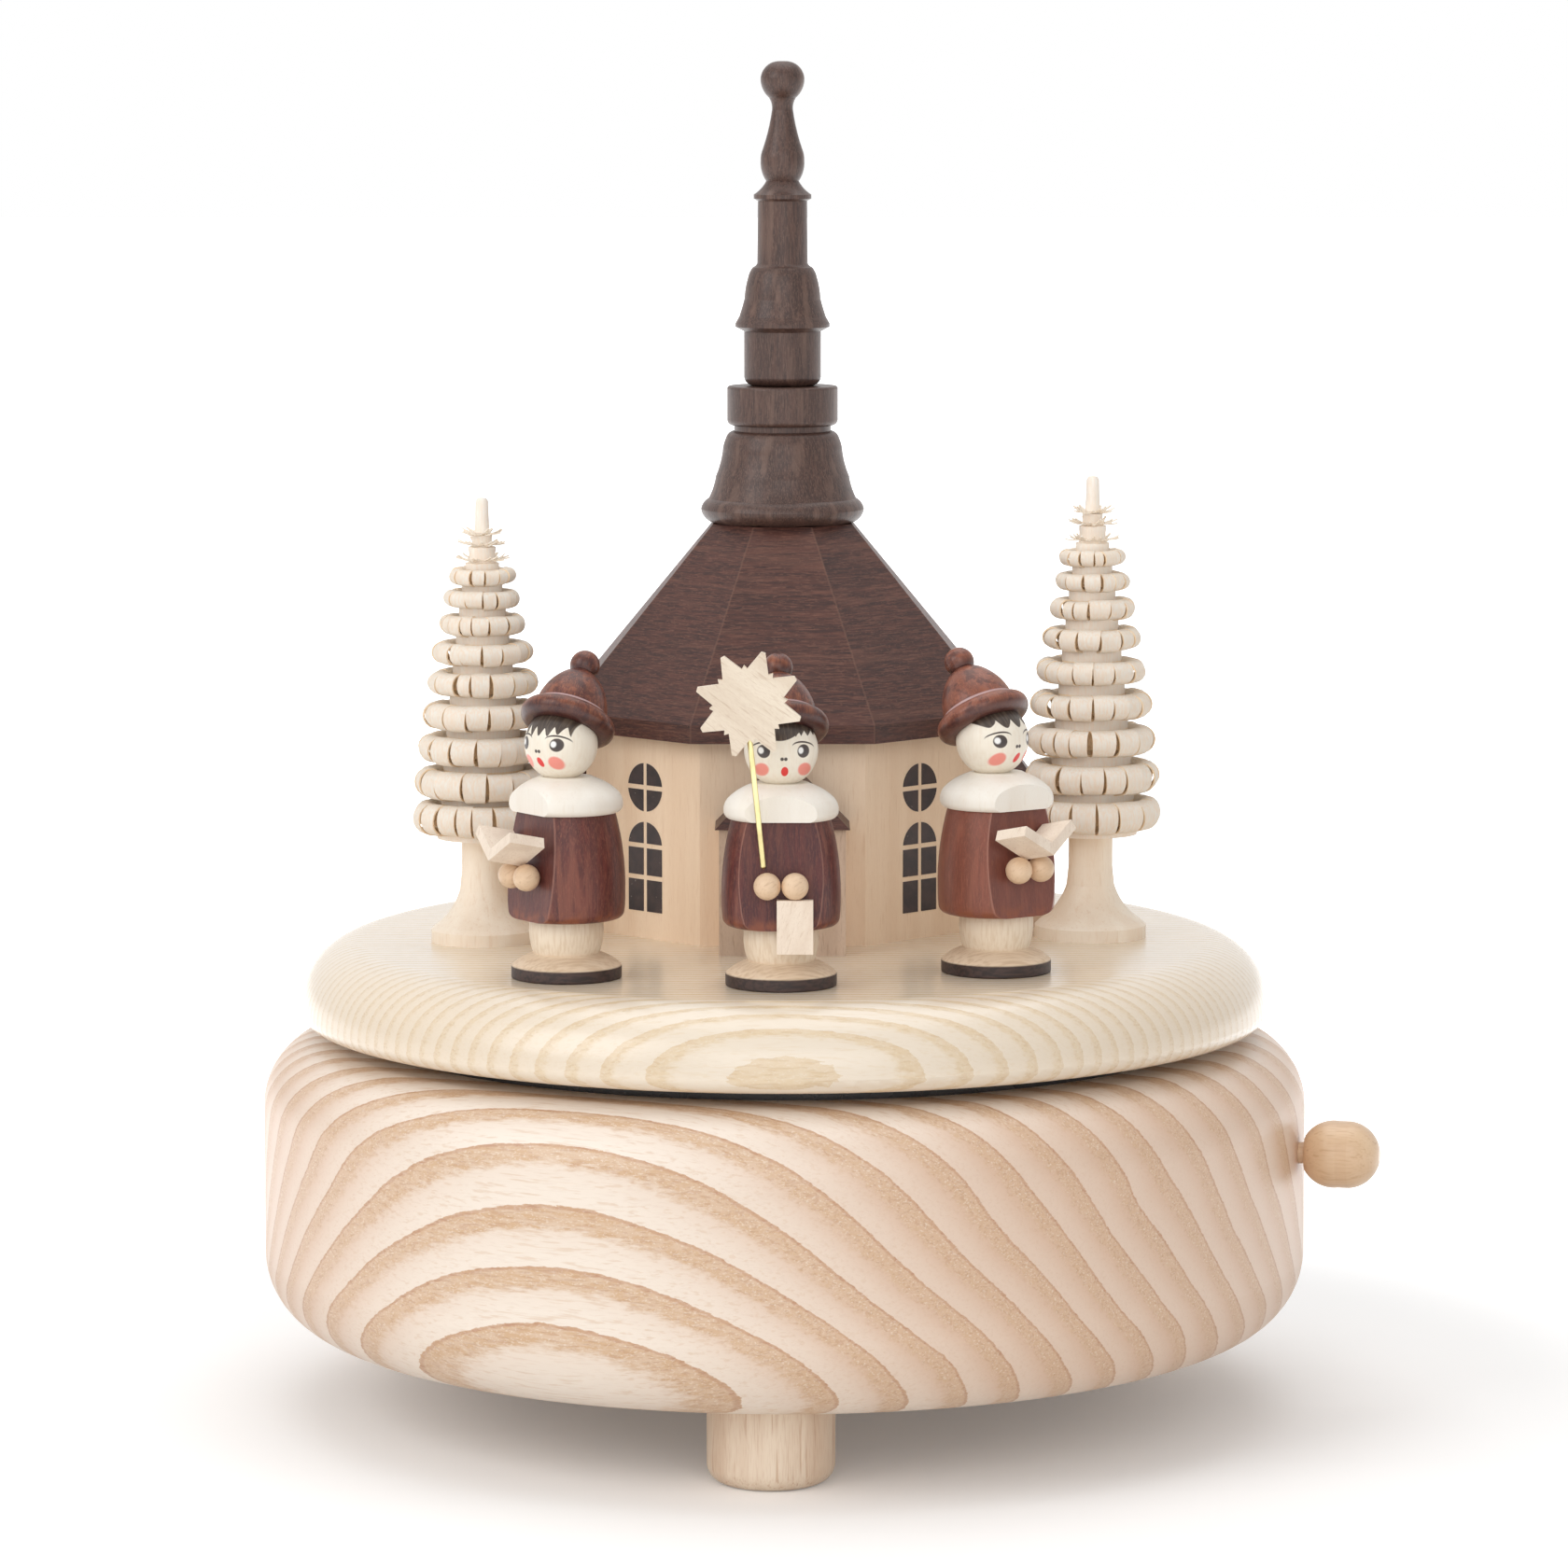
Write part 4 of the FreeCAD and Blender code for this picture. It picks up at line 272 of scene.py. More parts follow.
def fine_wood(name, fibre, base, fleck, flecks, scale, stretch=14, roughness=0.55, coat=0.0):
    """Close grained wood with short dark flecks along its fibre."""
    graph = Graph(name, roughness=roughness, coat=coat)
    cell = graph.noise(graph.along(fibre, stretch), 3.2 * scale, 2.0, 0.55)
    broad = graph.noise(graph.along(fibre, stretch * 1.5), 0.35 * scale, 3.0, 0.55)
    grit = graph.noise(graph.along(fibre, stretch * 0.5), 8.0 * scale, 1.0, 0.5)
    mark = graph.smooth(cell, 0.56, 0.72)
    colour = graph.mix(graph.times(graph.smooth(broad, 0.35, 0.65), 0.35), base, fleck)
    colour = graph.mix(graph.times(mark, flecks), colour, fleck)
    colour = graph.mix(graph.times(graph.smooth(grit, 0.45, 0.75), flecks * 0.4), colour, fleck)
    return graph.finish(colour, graph.flip(mark), FLECK_DEPTH)


def level_grain(graph):
    """Grain that lies level on every face: (along it, out of the face, up)."""
    level_way = graph.vector("NORMALIZE", graph.vector("CROSS_PRODUCT", UPRIGHT, graph.normal))
    run = graph.dot(graph.place, level_way)
    depth = graph.dot(graph.place, graph.normal)
    return graph.combine(graph.times(run, 0.07), graph.times(depth, 0.2), graph.height())


def stain(graph, grain, tones, fineness=1.0, patches=0.5):
    """The tone of stained wood and its relief.

    It has fine streaks, soft dark patches, and worn lighter specks.
    """
    base, dark, light = tones
    streak = graph.noise(grain, 3.2 * fineness, 3.0, 0.65)
    fine = graph.noise(grain, 7.5 * fineness, 2.0, 0.6)
    short_grain = graph.vector("MULTIPLY", grain, (4.0, 1.0, 1.0))
    speck = graph.noise(short_grain, 6.5 * fineness, 2.0, 0.5)
    patch = graph.noise(grain, 0.55, 2.0)
    worn = graph.noise(graph.vector("ADD", grain, (31.0, 17.0, 5.0)), 0.75, 2.0)
    colour = graph.mix(graph.times(graph.smooth(streak, 0.40, 0.62), 0.70), base, dark)
    colour = graph.mix(graph.times(graph.smooth(patch, 0.42, 0.64), patches), colour, dark)
    colour = graph.mix(graph.times(graph.smooth(worn, 0.52, 0.70), patches), colour, light)
    colour = graph.mix(graph.times(graph.smooth(fine, 0.50, 0.66), 0.45), colour, light)
    colour = graph.mix(graph.times(graph.smooth(speck, 0.58, 0.68), 0.35), colour, light)
    return colour, graph.add(streak, graph.times(fine, 0.5))


SPIRE_TONES = (srgb(84, 60, 52), srgb(56, 40, 36), srgb(120, 94, 82))


def spire_stain():
    graph = Graph("spire_stain", roughness=0.4, coat=0.1, specular=0.35)
    colour, relief = stain(graph, graph.along(UPRIGHT, 12), SPIRE_TONES)
    return graph.finish(colour, relief, STAIN_DEPTH)


# Growth rings of the two turned discs, counted in rings
# The body's field follows the ring lines seen in the photograph, and the table's is given

BODY_RINGS_START = 8.1
BODY_RINGS_SLOPE = (2.74, 8.03, 8.42)
BODY_RINGS_BEND = (0.45, 0.0, -2.6)
BODY_RINGS_TWIST = (-1.48, -1.04, -0.41)
BODY_RINGS_UNIT = 50.0
BODY_FIBRE = (0.90, -0.43, 0.0)

TABLE_RING = 1.75
TABLE_PITH_BACK = 170.0
TABLE_PITH_HEIGHT = 52.0
TABLE_RING_START = 0.55


def body_rings(graph):
    """A bent field: it rises by its slope, bends along each axis and twists between axes."""
    unit = graph.scaled(graph.place, 1 / BODY_RINGS_UNIT)
    x, y, z = graph.separate(unit)[:3]
    turned = graph.combine(y, z, x)
    return graph.add(graph.dot(unit, BODY_RINGS_SLOPE), BODY_RINGS_START,
                     graph.dot(graph.vector("MULTIPLY", unit, unit), BODY_RINGS_BEND),
                     graph.dot(graph.vector("MULTIPLY", unit, turned), BODY_RINGS_TWIST))


def table_rings(graph):
    """Rings round a pith that lies far behind the disc, along X."""
    y, z = graph.separate(graph.place)[1:3]
    back = graph.add(y, -TABLE_PITH_BACK)
    up = graph.add(z, -TABLE_PITH_HEIGHT)
    distance = graph.vector("LENGTH", graph.combine(back, up, 0.0))
    return graph.add(graph.times(distance, -1 / TABLE_RING), TABLE_RING_START)


# Stained pieces that need their own masks: the roof, the coats and the hats

WALLS_LOW, WALLS_HIGH = low_high("church_walls")
CHURCH_X = (WALLS_LOW.x + WALLS_HIGH.x) / 2
CHURCH_Y = (WALLS_LOW.y + WALLS_HIGH.y) / 2
CHURCH_FOOT = Vector((CHURCH_X, CHURCH_Y, WALLS_LOW.z))
ROOF_TONES = (srgb(82, 49, 41), srgb(46, 28, 26), srgb(122, 82, 68))
# Painted highlight along the roof's hips
ROOF_CORNER_HIGHLIGHT = srgb(134, 98, 82)
CORNER_HALF_WIDTH = 0.12

COAT_TONES = (srgb(96, 46, 42), srgb(58, 30, 33), srgb(138, 84, 68))
COAT_FLAT = srgb(74, 36, 38)
COAT_HEM = srgb(140, 80, 54)
# Painted highlight for the edges of the carved flat
COAT_ARRIS_HIGHLIGHT = srgb(176, 128, 112)
HEM_HEIGHTS = (0.3, 2.0)
ARRIS_DEPTHS = (-0.22, -0.08)

HAT_TONES = (srgb(104, 52, 40), srgb(56, 28, 27), srgb(166, 104, 74))
HAT_LIGHT_MOTTLE = srgb(150, 88, 58)
HAT_DARK_MOTTLE = srgb(58, 29, 29)
# Painted shade for the underside of the brim
HAT_PAINTED_SHADE = srgb(52, 27, 29)
# Painted highlight: a pale line along the crease of the brim
HAT_CREASE_HIGHLIGHT = srgb(206, 176, 176)
HAT_TURNS = {"left": -28.0, "centre": 4.0, "right": 42.0}
HAT_TILTS = {"left": 33.0, "centre": 30.0, "right": 33.0}
HAT_CREASE_HEIGHT = 4.28
HAT_CREASE_RADIUS = 4.45
HAT_CREASE_EDGE = (0.34, 0.46)

STAIN_LIFT = {"left": 0.06, "centre": 0.0, "right": 0.34}
LIFTED_STAIN = srgb(184, 116, 92)


def corner_line(graph):
    """1 along the church's eight corners, seen from above as rays from its middle."""
    x, y = graph.separate(graph.vector("SUBTRACT", graph.place, tuple(CHURCH_FOOT)))[:2]
    half_side = math.pi / 8
    azimuth = graph.math("ARCTAN2", x, graph.times(y, -1.0))
    off_corner = graph.math("PINGPONG", graph.add(azimuth, 16 * math.pi - half_side), half_side)
    reach = graph.vector("LENGTH", graph.combine(x, y, 0.0))
    off_line = graph.times(reach, off_corner)
    return graph.flip(graph.smooth(off_line, CORNER_HALF_WIDTH * 0.5, CORNER_HALF_WIDTH * 1.5))


def roof_stain():
    graph = Graph("roof_stain", roughness=0.42, specular=0.3)
    colour, relief = stain(graph, level_grain(graph), ROOF_TONES, 1.0, 0.3)
    # Painted highlight: a lighter line along each of the church's eight corners
    colour = graph.mix(graph.times(corner_line(graph), 0.25), colour, ROOF_CORNER_HIGHLIGHT)
    return graph.finish(colour, relief, STAIN_DEPTH)


def largest_flat(node):
    """The way that a piece's largest upright flat faces, and how far out it lies."""
    areas = {}
    mesh = nodes[node].data
    for face in mesh.polygons:
        if abs(face.normal.z) < 0.5:
            way = tuple(round(part, 2) for part in face.normal)
            areas[way] = areas.get(way, 0.0) + face.area
    rough_way = Vector(max(areas, key=areas.get))
    on_flat = [face for face in mesh.polygons if (face.normal - rough_way).length < 0.01]
    face = max(on_flat, key=lambda face: face.area)
    return tuple(face.normal), face.normal.dot(face.center) / MM


def coat_stain(side):
    """The coat's stain: darker on the carved flat, with a painted highlight along the flat's edges,
    and worn at the hem.
    """
    node = side + "_singer_coat"
    graph = Graph(side + "_coat_stain", roughness=0.40, coat=0.06, specular=0.3)
    colour, relief = stain(graph, graph.along(UPRIGHT, 12), COAT_TONES)
    colour = graph.mix(STAIN_LIFT[side], colour, LIFTED_STAIN)
    way, depth = largest_flat(node)
    on_flat = graph.smooth(graph.dot(graph.normal, way), 0.95, 0.985)
    past_flat = graph.add(graph.dot(graph.place, way), -depth)
    near_flat = graph.smooth(past_flat, *ARRIS_DEPTHS)
    arris_highlight = graph.times(near_flat, graph.flip(on_flat))
    above_bottom = graph.add(graph.height(), -low_high(node)[0].z)
    hem = graph.flip(graph.smooth(above_bottom, *HEM_HEIGHTS))
    ragged = graph.smooth(graph.noise(graph.place, 0.8, 2.0), 0.35, 0.65)
    colour = graph.mix(graph.times(on_flat, 0.35), colour, COAT_FLAT)
    colour = graph.mix(graph.times(hem, ragged, 0.7), colour, COAT_HEM)
    # Painted highlight: a pale line round the edges of the carved flat
    colour = graph.mix(graph.times(arris_highlight, 0.4), colour, COAT_ARRIS_HIGHLIGHT)
    return graph.finish(colour, relief, STAIN_DEPTH)


def hat_stain(side):
    """A glossy mottled stain, with painted shade under the brim and a painted highlight along the
    brim's crease.
    """
    graph = Graph(side + "_hat_stain", roughness=0.32, coat=0.08, specular=0.35)
    turn = math.radians(HAT_TURNS[side])
    tilt = math.radians(HAT_TILTS[side])
    axis = (-math.sin(turn) * math.sin(tilt), math.cos(turn) * math.sin(tilt), math.cos(tilt))
    local = graph.vector("SUBTRACT", graph.place, tuple(head_centre(side)))
    height = graph.dot(local, axis)
    outward = graph.vector("SUBTRACT", local, graph.scaled(graph.combine(*axis), height))
    radius = graph.vector("LENGTH", outward)
    colour, relief = stain(graph, graph.along(axis, 6), HAT_TONES, 0.9, 0.4)
    colour = graph.mix(STAIN_LIFT[side], colour, LIFTED_STAIN)
    mottle = graph.noise(graph.along(axis, 0.7), 0.55, 3.0, 0.55)
    light_mottle = graph.times(graph.smooth(mottle, 0.50, 0.70), 0.45)
    dark_mottle = graph.times(graph.smooth(mottle, 0.50, 0.36), 0.6)
    colour = graph.mix(light_mottle, colour, HAT_LIGHT_MOTTLE)
    colour = graph.mix(dark_mottle, colour, HAT_DARK_MOTTLE)
    # Painted shade: the stain is darkened where the surface faces down, under the brim
    painted_shade_under = graph.flip(graph.smooth(graph.dot(graph.normal, axis), -0.6, 0.2))
    colour = graph.mix(graph.times(painted_shade_under, 0.7), colour, HAT_PAINTED_SHADE)
    # Painted highlight along the brim's crease, at the inner top edge of the brim's roll
    above_crease = graph.add(height, -HAT_CREASE_HEIGHT)
    beside_crease = graph.add(radius, -HAT_CREASE_RADIUS)
    off_crease = graph.vector("LENGTH", graph.combine(above_crease, beside_crease, 0.0))
    crease_highlight = graph.flip(graph.smooth(off_crease, *HAT_CREASE_EDGE))
    colour = graph.mix(graph.times(crease_highlight, 0.8), colour, HAT_CREASE_HIGHLIGHT)
    return graph.finish(colour, relief, STAIN_DEPTH)


# Painted heads: places and sizes are shares of the head's radius, seen from the front

FACES = {
    "left": {"azimuth": -38, "eyes": 0.07, "nose": -0.12, "mouth": -0.42,
             "cheeks": -0.43, "cheek_width": 0.86, "slant": 0.25},
    "centre": {"azimuth": 4.5, "eyes": 0.05, "nose": -0.15, "mouth": -0.50,
               "cheeks": -0.46, "cheek_width": 1.08, "slant": 0.0},
    "right": {"azimuth": 44, "eyes": 0.05, "nose": -0.11, "mouth": -0.43,
              "cheeks": -0.45, "cheek_width": 0.96, "slant": -0.30},
}
HEAD_RADIUS = 4.4
EYE_ASIDE = 0.535
EYE_HALF = (0.168, 0.18)
PUPIL_HALF = (0.085, 0.10)
SPARK_HALF = (0.07, 0.085)
BROW_HALF = (0.31, 0.165)
UNDER_BROW_HALF = (0.33, 0.165)
BROW_DROOP = 0.13
CHEEK_HALF = (0.185, 0.185)
NOSTRIL_ASIDE = 0.05
NOSTRIL_HALF = (0.048, 0.048)
MOUTH_ASIDE = 0.03
MOUTH_HALF = (0.098, 0.135)

HEAD_LIGHT = srgb(247, 238, 222)
HEAD_WARM = srgb(232, 214, 190)
FACE_DARK = srgb(60, 46, 39)
PUPIL_TONE = srgb(40, 32, 32)
SPARK_TONE = srgb(250, 249, 247)
CHEEK_TONE = srgb(242, 134, 120)
MOUTH_TONE = srgb(226, 54, 50)
HAIR_DARK = srgb(62, 49, 41)
HAIR_LIGHT = srgb(112, 96, 80)


def head_centre(side):
    low, high = low_high(side + "_singer_head")
    return Vector(((low.x + high.x) / 2, (low.y + high.y) / 2, high.z - HEAD_RADIUS))


def head_paint(side):
    """Bare wood with the face painted on it."""
    graph = Graph(side + "_face_paint", roughness=0.42, coat=0.1)
    face = FACES[side]
    turn = math.radians(face["azimuth"])
    front = (math.sin(turn), -math.cos(turn), 0.0)
    right = (math.cos(turn), math.sin(turn), 0.0)
    from_middle = graph.vector("SUBTRACT", graph.place, tuple(head_centre(side)))
    local = graph.scaled(from_middle, 1 / HEAD_RADIUS)
    across = graph.dot(local, right)
    up = graph.separate(local)[2]
    ahead = graph.smooth(graph.dot(local, front), 0.0, 0.06)
    grain = graph.noise(graph.along(UPRIGHT, 8), 2.5, 2.0)
    colour = graph.mix(graph.times(graph.smooth(grain, 0.4, 0.7), 0.3), HEAD_LIGHT, HEAD_WARM)

    def spot(aside, height, half, soft):
        return graph.ellipse(across, up, (aside, height), half, soft)

    def layer(painted_shade_under, mask, tone):
        return graph.mix(graph.times(mask, ahead), painted_shade_under, tone)

    eyes = face["eyes"]
    for way in (-1, 1):
        aside = EYE_ASIDE * way
        cheek = spot(aside * face["cheek_width"], face["cheeks"], CHEEK_HALF, 0.16)
        colour = layer(colour, graph.times(cheek, 0.9), CHEEK_TONE)
        colour = layer(colour, spot(aside, eyes, EYE_HALF, 0.07), FACE_DARK)
        pupil = spot(aside + 0.035, eyes - 0.01, PUPIL_HALF, 0.5)
        colour = layer(colour, graph.times(pupil, 0.6), PUPIL_TONE)
        spark = spot(aside - 0.07, eyes + 0.02, SPARK_HALF, 0.30)
        colour = layer(colour, spark, SPARK_TONE)
        past_eye = graph.add(graph.times(across, way), -EYE_ASIDE)
        drooping = graph.add(up, graph.times(past_eye, BROW_DROOP))
        brow = graph.ellipse(across, drooping, (aside, eyes + 0.10), BROW_HALF, 0.05)
        under_brow = graph.ellipse(across, drooping, (aside, eyes + 0.055), UNDER_BROW_HALF, 0.05)
        colour = layer(colour, graph.times(brow, graph.flip(under_brow)), FACE_DARK)
        nostril = spot(NOSTRIL_ASIDE * way, face["nose"], NOSTRIL_HALF, 0.2)
        colour = layer(colour, nostril, FACE_DARK)
    slanting = graph.times(graph.add(up, -face["mouth"]), face["slant"])
    slanted = graph.add(across, slanting)
    mouth = graph.ellipse(slanted, up, (MOUTH_ASIDE, face["mouth"]), MOUTH_HALF, 0.10)
    colour = layer(colour, mouth, MOUTH_TONE)
    combed = graph.combine(graph.times(across, 16.0), graph.times(up, 2.0), 0.0)
    strands = graph.smooth(graph.noise(combed, 1.0, 2.0), 0.42, 0.7)
    hair_tone = graph.mix(graph.times(strands, 0.55), HAIR_DARK, HAIR_LIGHT)
    colour = layer(colour, fringe(graph, side, across, up), hair_tone)
    return graph.finish(colour, grain, FINE_DEPTH)


def fringe(graph, side, across, up):
    """Where the hair is painted: jagged, swept to the side, or in round waves."""
    uneven = graph.add(graph.noise(graph.combine(across, 0.0, 0.0), 3.0, 1.0), -0.5)
    wandering = graph.add(across, graph.times(uneven, 0.10))
    if side == "left":
        teeth = graph.math("PINGPONG", graph.add(graph.times(wandering, 3.7), 10.0), 0.5)
        jags = graph.times(graph.smooth(teeth, 0.0, 0.55), 0.24)
        edge = graph.add(0.30, jags, graph.times(uneven, 0.30))
        reach = 0.80
    elif side == "centre":
        swept = graph.add(across, 0.12)
        lobe = graph.add(0.335, graph.times(swept, swept, 0.66))
        teeth = graph.math("PINGPONG", graph.add(graph.times(wandering, 6.0), 10.0), 0.5)
        tufts = graph.add(0.43, graph.times(teeth, 0.26), graph.times(uneven, 0.10))
        edge = graph.math("MINIMUM", lobe, tufts)
        reach = 0.93
    else:
        phase = graph.add(graph.times(wandering, 7.5), 3.9)
        wave = graph.math("ABSOLUTE", graph.math("SINE", phase))
        edge = graph.add(0.62, graph.times(wave, -0.21), graph.times(uneven, 0.12))
        reach = 0.93
    above = graph.smooth(graph.math("SUBTRACT", up, edge), -0.012, 0.012)
    off_middle = graph.math("ABSOLUTE", across)
    beside = graph.smooth(off_middle, reach - 0.015, reach + 0.015)
    return graph.times(above, graph.flip(beside))


# Legs: the disc under them is stained dark up to a set height above the turntable

TABLE_TOP = low_high("turntable")[1].z
DISC_EDGE = 1.5
DISC_EDGE_SOFT = 0.12
DISC_TOP = 3.0
DISC_TOP_SOFT = 0.4
LEG_DEPTH = 0.004
FLAT_FIBRE = (1, 0.3, 0)
LEG_TONES = (srgb(240, 224, 202), srgb(228, 208, 182))
DISC_TONES = (srgb(234, 210, 182), srgb(218, 190, 158))
EDGE_TONES = (srgb(66, 48, 44), srgb(44, 32, 30))


def leg_wood():
    graph = Graph("leg_wood", roughness=0.5)
    grain = graph.noise(graph.along(UPRIGHT, 10), 3.0, 2.0)
    flat_grain = graph.noise(graph.along(FLAT_FIBRE, 8), 2.6, 2.0)
    legs = graph.mix(graph.smooth(grain, 0.4, 0.68), *LEG_TONES)
    disc = graph.mix(graph.smooth(flat_grain, 0.4, 0.68), *DISC_TONES)
    edge = graph.mix(graph.smooth(flat_grain, 0.4, 0.65), *EDGE_TONES)
    above_table = graph.add(graph.height(), -TABLE_TOP)
    past_disc = graph.smooth(above_table, DISC_TOP - DISC_TOP_SOFT, DISC_TOP + DISC_TOP_SOFT)
    past_edge = graph.smooth(above_table, DISC_EDGE - DISC_EDGE_SOFT, DISC_EDGE + DISC_EDGE_SOFT)
    colour = graph.mix(past_edge, edge, graph.mix(past_disc, disc, legs))
    return graph.finish(colour, grain, LEG_DEPTH)


# Metals and plastic

BRUSHED_DEPTH = 0.006
PLASTIC_ROUGHNESS = 0.25


def metal(name, colour, dull, roughness, brushed=UPRIGHT):
    """Metal with fine brushed lines and a slightly uneven sheen."""
    graph = Graph(name, roughness=roughness, metallic=1.0)
    lines = graph.noise(graph.along(brushed, 30), 9.0, 2.0)
    cloud = graph.noise(graph.place, 0.35, 3.0)
    tone = graph.mix(graph.times(graph.smooth(cloud, 0.4, 0.7), 0.5), colour, dull)
    tone = graph.mix(graph.times(lines, 0.25), tone, dull)
    rough = graph.add(roughness - 0.06, graph.times(cloud, 0.14))
    return graph.finish(tone, lines, BRUSHED_DEPTH, rough)


def black_plastic():
    graph = Graph("black_plastic", roughness=PLASTIC_ROUGHNESS)
    grain = graph.noise(graph.place, 6.0, 2.0)
    cloud = graph.noise(graph.place, 0.3, 2.0)
    tone = graph.mix(graph.times(cloud, 0.35), srgb(28, 25, 26), srgb(58, 50, 50))
    rough = graph.add(PLASTIC_ROUGHNESS - 0.05, graph.times(cloud, 0.12))
    return graph.finish(tone, grain, FINE_DEPTH, rough)


# Materials by name

KNOB_AZIMUTH = math.radians(-13)
KNOB_FIBRE = (math.cos(KNOB_AZIMUTH), math.sin(KNOB_AZIMUTH), 0)
HAND_FIBRE = (0.8, 0.3, 0.5)
BOOK_FIBRE = (0.3, 0.2, 1)
STAR_FIBRE = (0.8, 0.0, -0.6)
BODY_TONES = (srgb(245, 232, 218), srgb(218, 182, 155), srgb(212, 176, 140), srgb(186, 136, 106))
TABLE_TONES = (srgb(236, 222, 203), srgb(232, 214, 190), srgb(225, 202, 168), srgb(210, 178, 138))

materials = {
    "body": ringed_wood("body_ash", body_rings, BODY_FIBRE, BODY_TONES,
                        line_share=0.05, line_strength=0.65, band_share=0.42, sway=0.22,
                        roughness=0.4, coat=0.12),
    "table": ringed_wood("turntable_ash", table_rings, LEVEL, TABLE_TONES,
                         line_share=0.12, line_strength=0.15, band_share=0.38, sway=0.45,
                         roughness=0.26, coat=0.5),
    "feet": fine_wood("feet_ash", UPRIGHT, srgb(246, 228, 206), srgb(196, 152, 116),
                      flecks=0.55, scale=0.7, stretch=22, roughness=0.5),
    "wall": fine_wood("wall_wood", UPRIGHT, srgb(250, 226, 198), srgb(230, 198, 166),
                      flecks=0.45, scale=1.1),
    "porch": fine_wood("porch_wood", UPRIGHT, srgb(222, 198, 176), srgb(186, 156, 132),
                       flecks=0.7, scale=1.3, stretch=10),
    "plywood": fine_wood("plywood", LEVEL, srgb(222, 190, 150), srgb(186, 146, 108),
                         flecks=0.5, scale=0.6),
    "hand": fine_wood("bead_wood", HAND_FIBRE, srgb(232, 202, 170), srgb(196, 160, 124),
                      flecks=0.5, scale=0.9, stretch=8, roughness=0.4),
    "knob": fine_wood("knob_wood", KNOB_FIBRE, srgb(232, 200, 164), srgb(196, 154, 114),
                      flecks=0.5, scale=0.5, stretch=16, roughness=0.35, coat=0.3),
    "book": fine_wood("book_wood", BOOK_FIBRE, srgb(246, 230, 212), srgb(214, 190, 168),
                      flecks=0.5, scale=1.2, stretch=9),
    "star": fine_wood("star_wood", STAR_FIBRE, srgb(244, 230, 210), srgb(206, 182, 158),
                      flecks=0.6, scale=1.0, stretch=9),
    "collar": fine_wood("white_stain", UPRIGHT, srgb(247, 241, 231), srgb(236, 224, 208),
                        flecks=0.35, scale=0.8, stretch=8, roughness=0.45),
    "leg": leg_wood(),
    "roof": roof_stain(),
    "spire": spire_stain(),
    "brass": metal("brass", srgb(222, 211, 158), srgb(170, 154, 104), 0.34),
    "key_brass": metal("key_brass", srgb(214, 184, 104), srgb(160, 130, 70), 0.34, LEVEL),
    "steel": metal("plated_steel", srgb(205, 205, 208), srgb(160, 160, 166), 0.3),
    "spring": metal("spring_steel", srgb(150, 152, 160), srgb(98, 100, 112), 0.35, LEVEL),
    "zinc": metal("cast_zinc", srgb(180, 182, 184), srgb(142, 144, 148), 0.5),
    "plastic": black_plastic(),
}

dressing = {
    "body": ("body_shell",),
    "table": ("turntable",),
    "feet": ("feet",),
    "plywood": ("bottom_plate",),
    "wall": ("church_walls",),
    "porch": ("porch_walls",),
    "roof": ("church_roof", "porch_roofs"),
    "spire": ("spire_bell", "spire_disc", "spire_pinnacle"),
    "knob": ("stop_knob", "stop_rod"),
    "hand": ("singer_hands",),
    "collar": ("singer_collars",),
    "star": ("star",),
    "brass": ("star_wire", "note_cylinder", "governor_worm"),
    "key_brass": ("winding_key", "ratchet_wheel", "cylinder_gears"),
    "steel": ("bottom_plate_screws", "movement_screws", "winding_arbor", "stop_wire", "spindle",
              "hub_screws", "governor_frame"),
    "spring": ("mainspring", "comb", "ratchet_pawl", "spring_barrel"),
    "zinc": ("bedplate", "barrel_bridge", "turntable_hub", "crown_wheel", "spindle_bush"),
    "plastic": ("slide_ring", "governor_wheel", "governor_fan"),
}


def dress(node, material):
    """Gives a part of the frame its finish in place of its plain one."""
    for place in nodes[node].material_slots:
        place.material = material


for finish_name, members in dressing.items():
    for member in members:
        dress(member, materials[finish_name])

for side in ("left", "centre", "right"):
    dress(side + "_singer_legs", materials["leg"])
    dress(side + "_singer_coat", coat_stain(side))
    dress(side + "_singer_hat", hat_stain(side))
    dress(side + "_singer_book", materials["book"])
    dress(side + "_singer_head", head_paint(side))


# Meshes made here

SHARP_EDGE = math.radians(40)


def make_piece(name, points, faces, body, finishes, face_finish=None, smooth=True):
    """A mesh from points in millimetres, riding on a body of the frame."""
    mesh = bpy.data.meshes.new(name)
    mesh.from_pydata([tuple(Vector(point) * MM) for point in points], [], faces)
    for material in finishes:
        mesh.materials.append(material)
    if face_finish:
        mesh.polygons.foreach_set("material_index", face_finish)
    mesh.polygons.foreach_set("use_smooth", [smooth] * len(faces))
    mesh.set_sharp_from_angle(angle=SHARP_EDGE)
    mesh.update()
    piece = bpy.data.objects.new(name, mesh)
    bpy.context.scene.collection.objects.link(piece)
    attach(piece, body)
    return piece


# Church windows, printed on the four slanting faces: (azimuth, way of the shift) of each
# Heights are above the foot of the walls

SLANTING_FACES = ((-45, 1), (45, -1), (135, 1), (-135, -1))
WALL_APOTHEM = (WALLS_HIGH.x - WALLS_LOW.x) / 2
WINDOW_SHIFT = 0.5
WINDOW_BAR = 0.6
ROUND_RADIUS = 3.05
ROUND_HEIGHT = 19.07
ARCH_RADIUS = 3.0
ARCH_SPRING = 11.7
ARCH_SILL = 3.4
ARCH_MIDDLE = 7.7
HALF_PRINT = 0.06
ARC_STEPS = 10


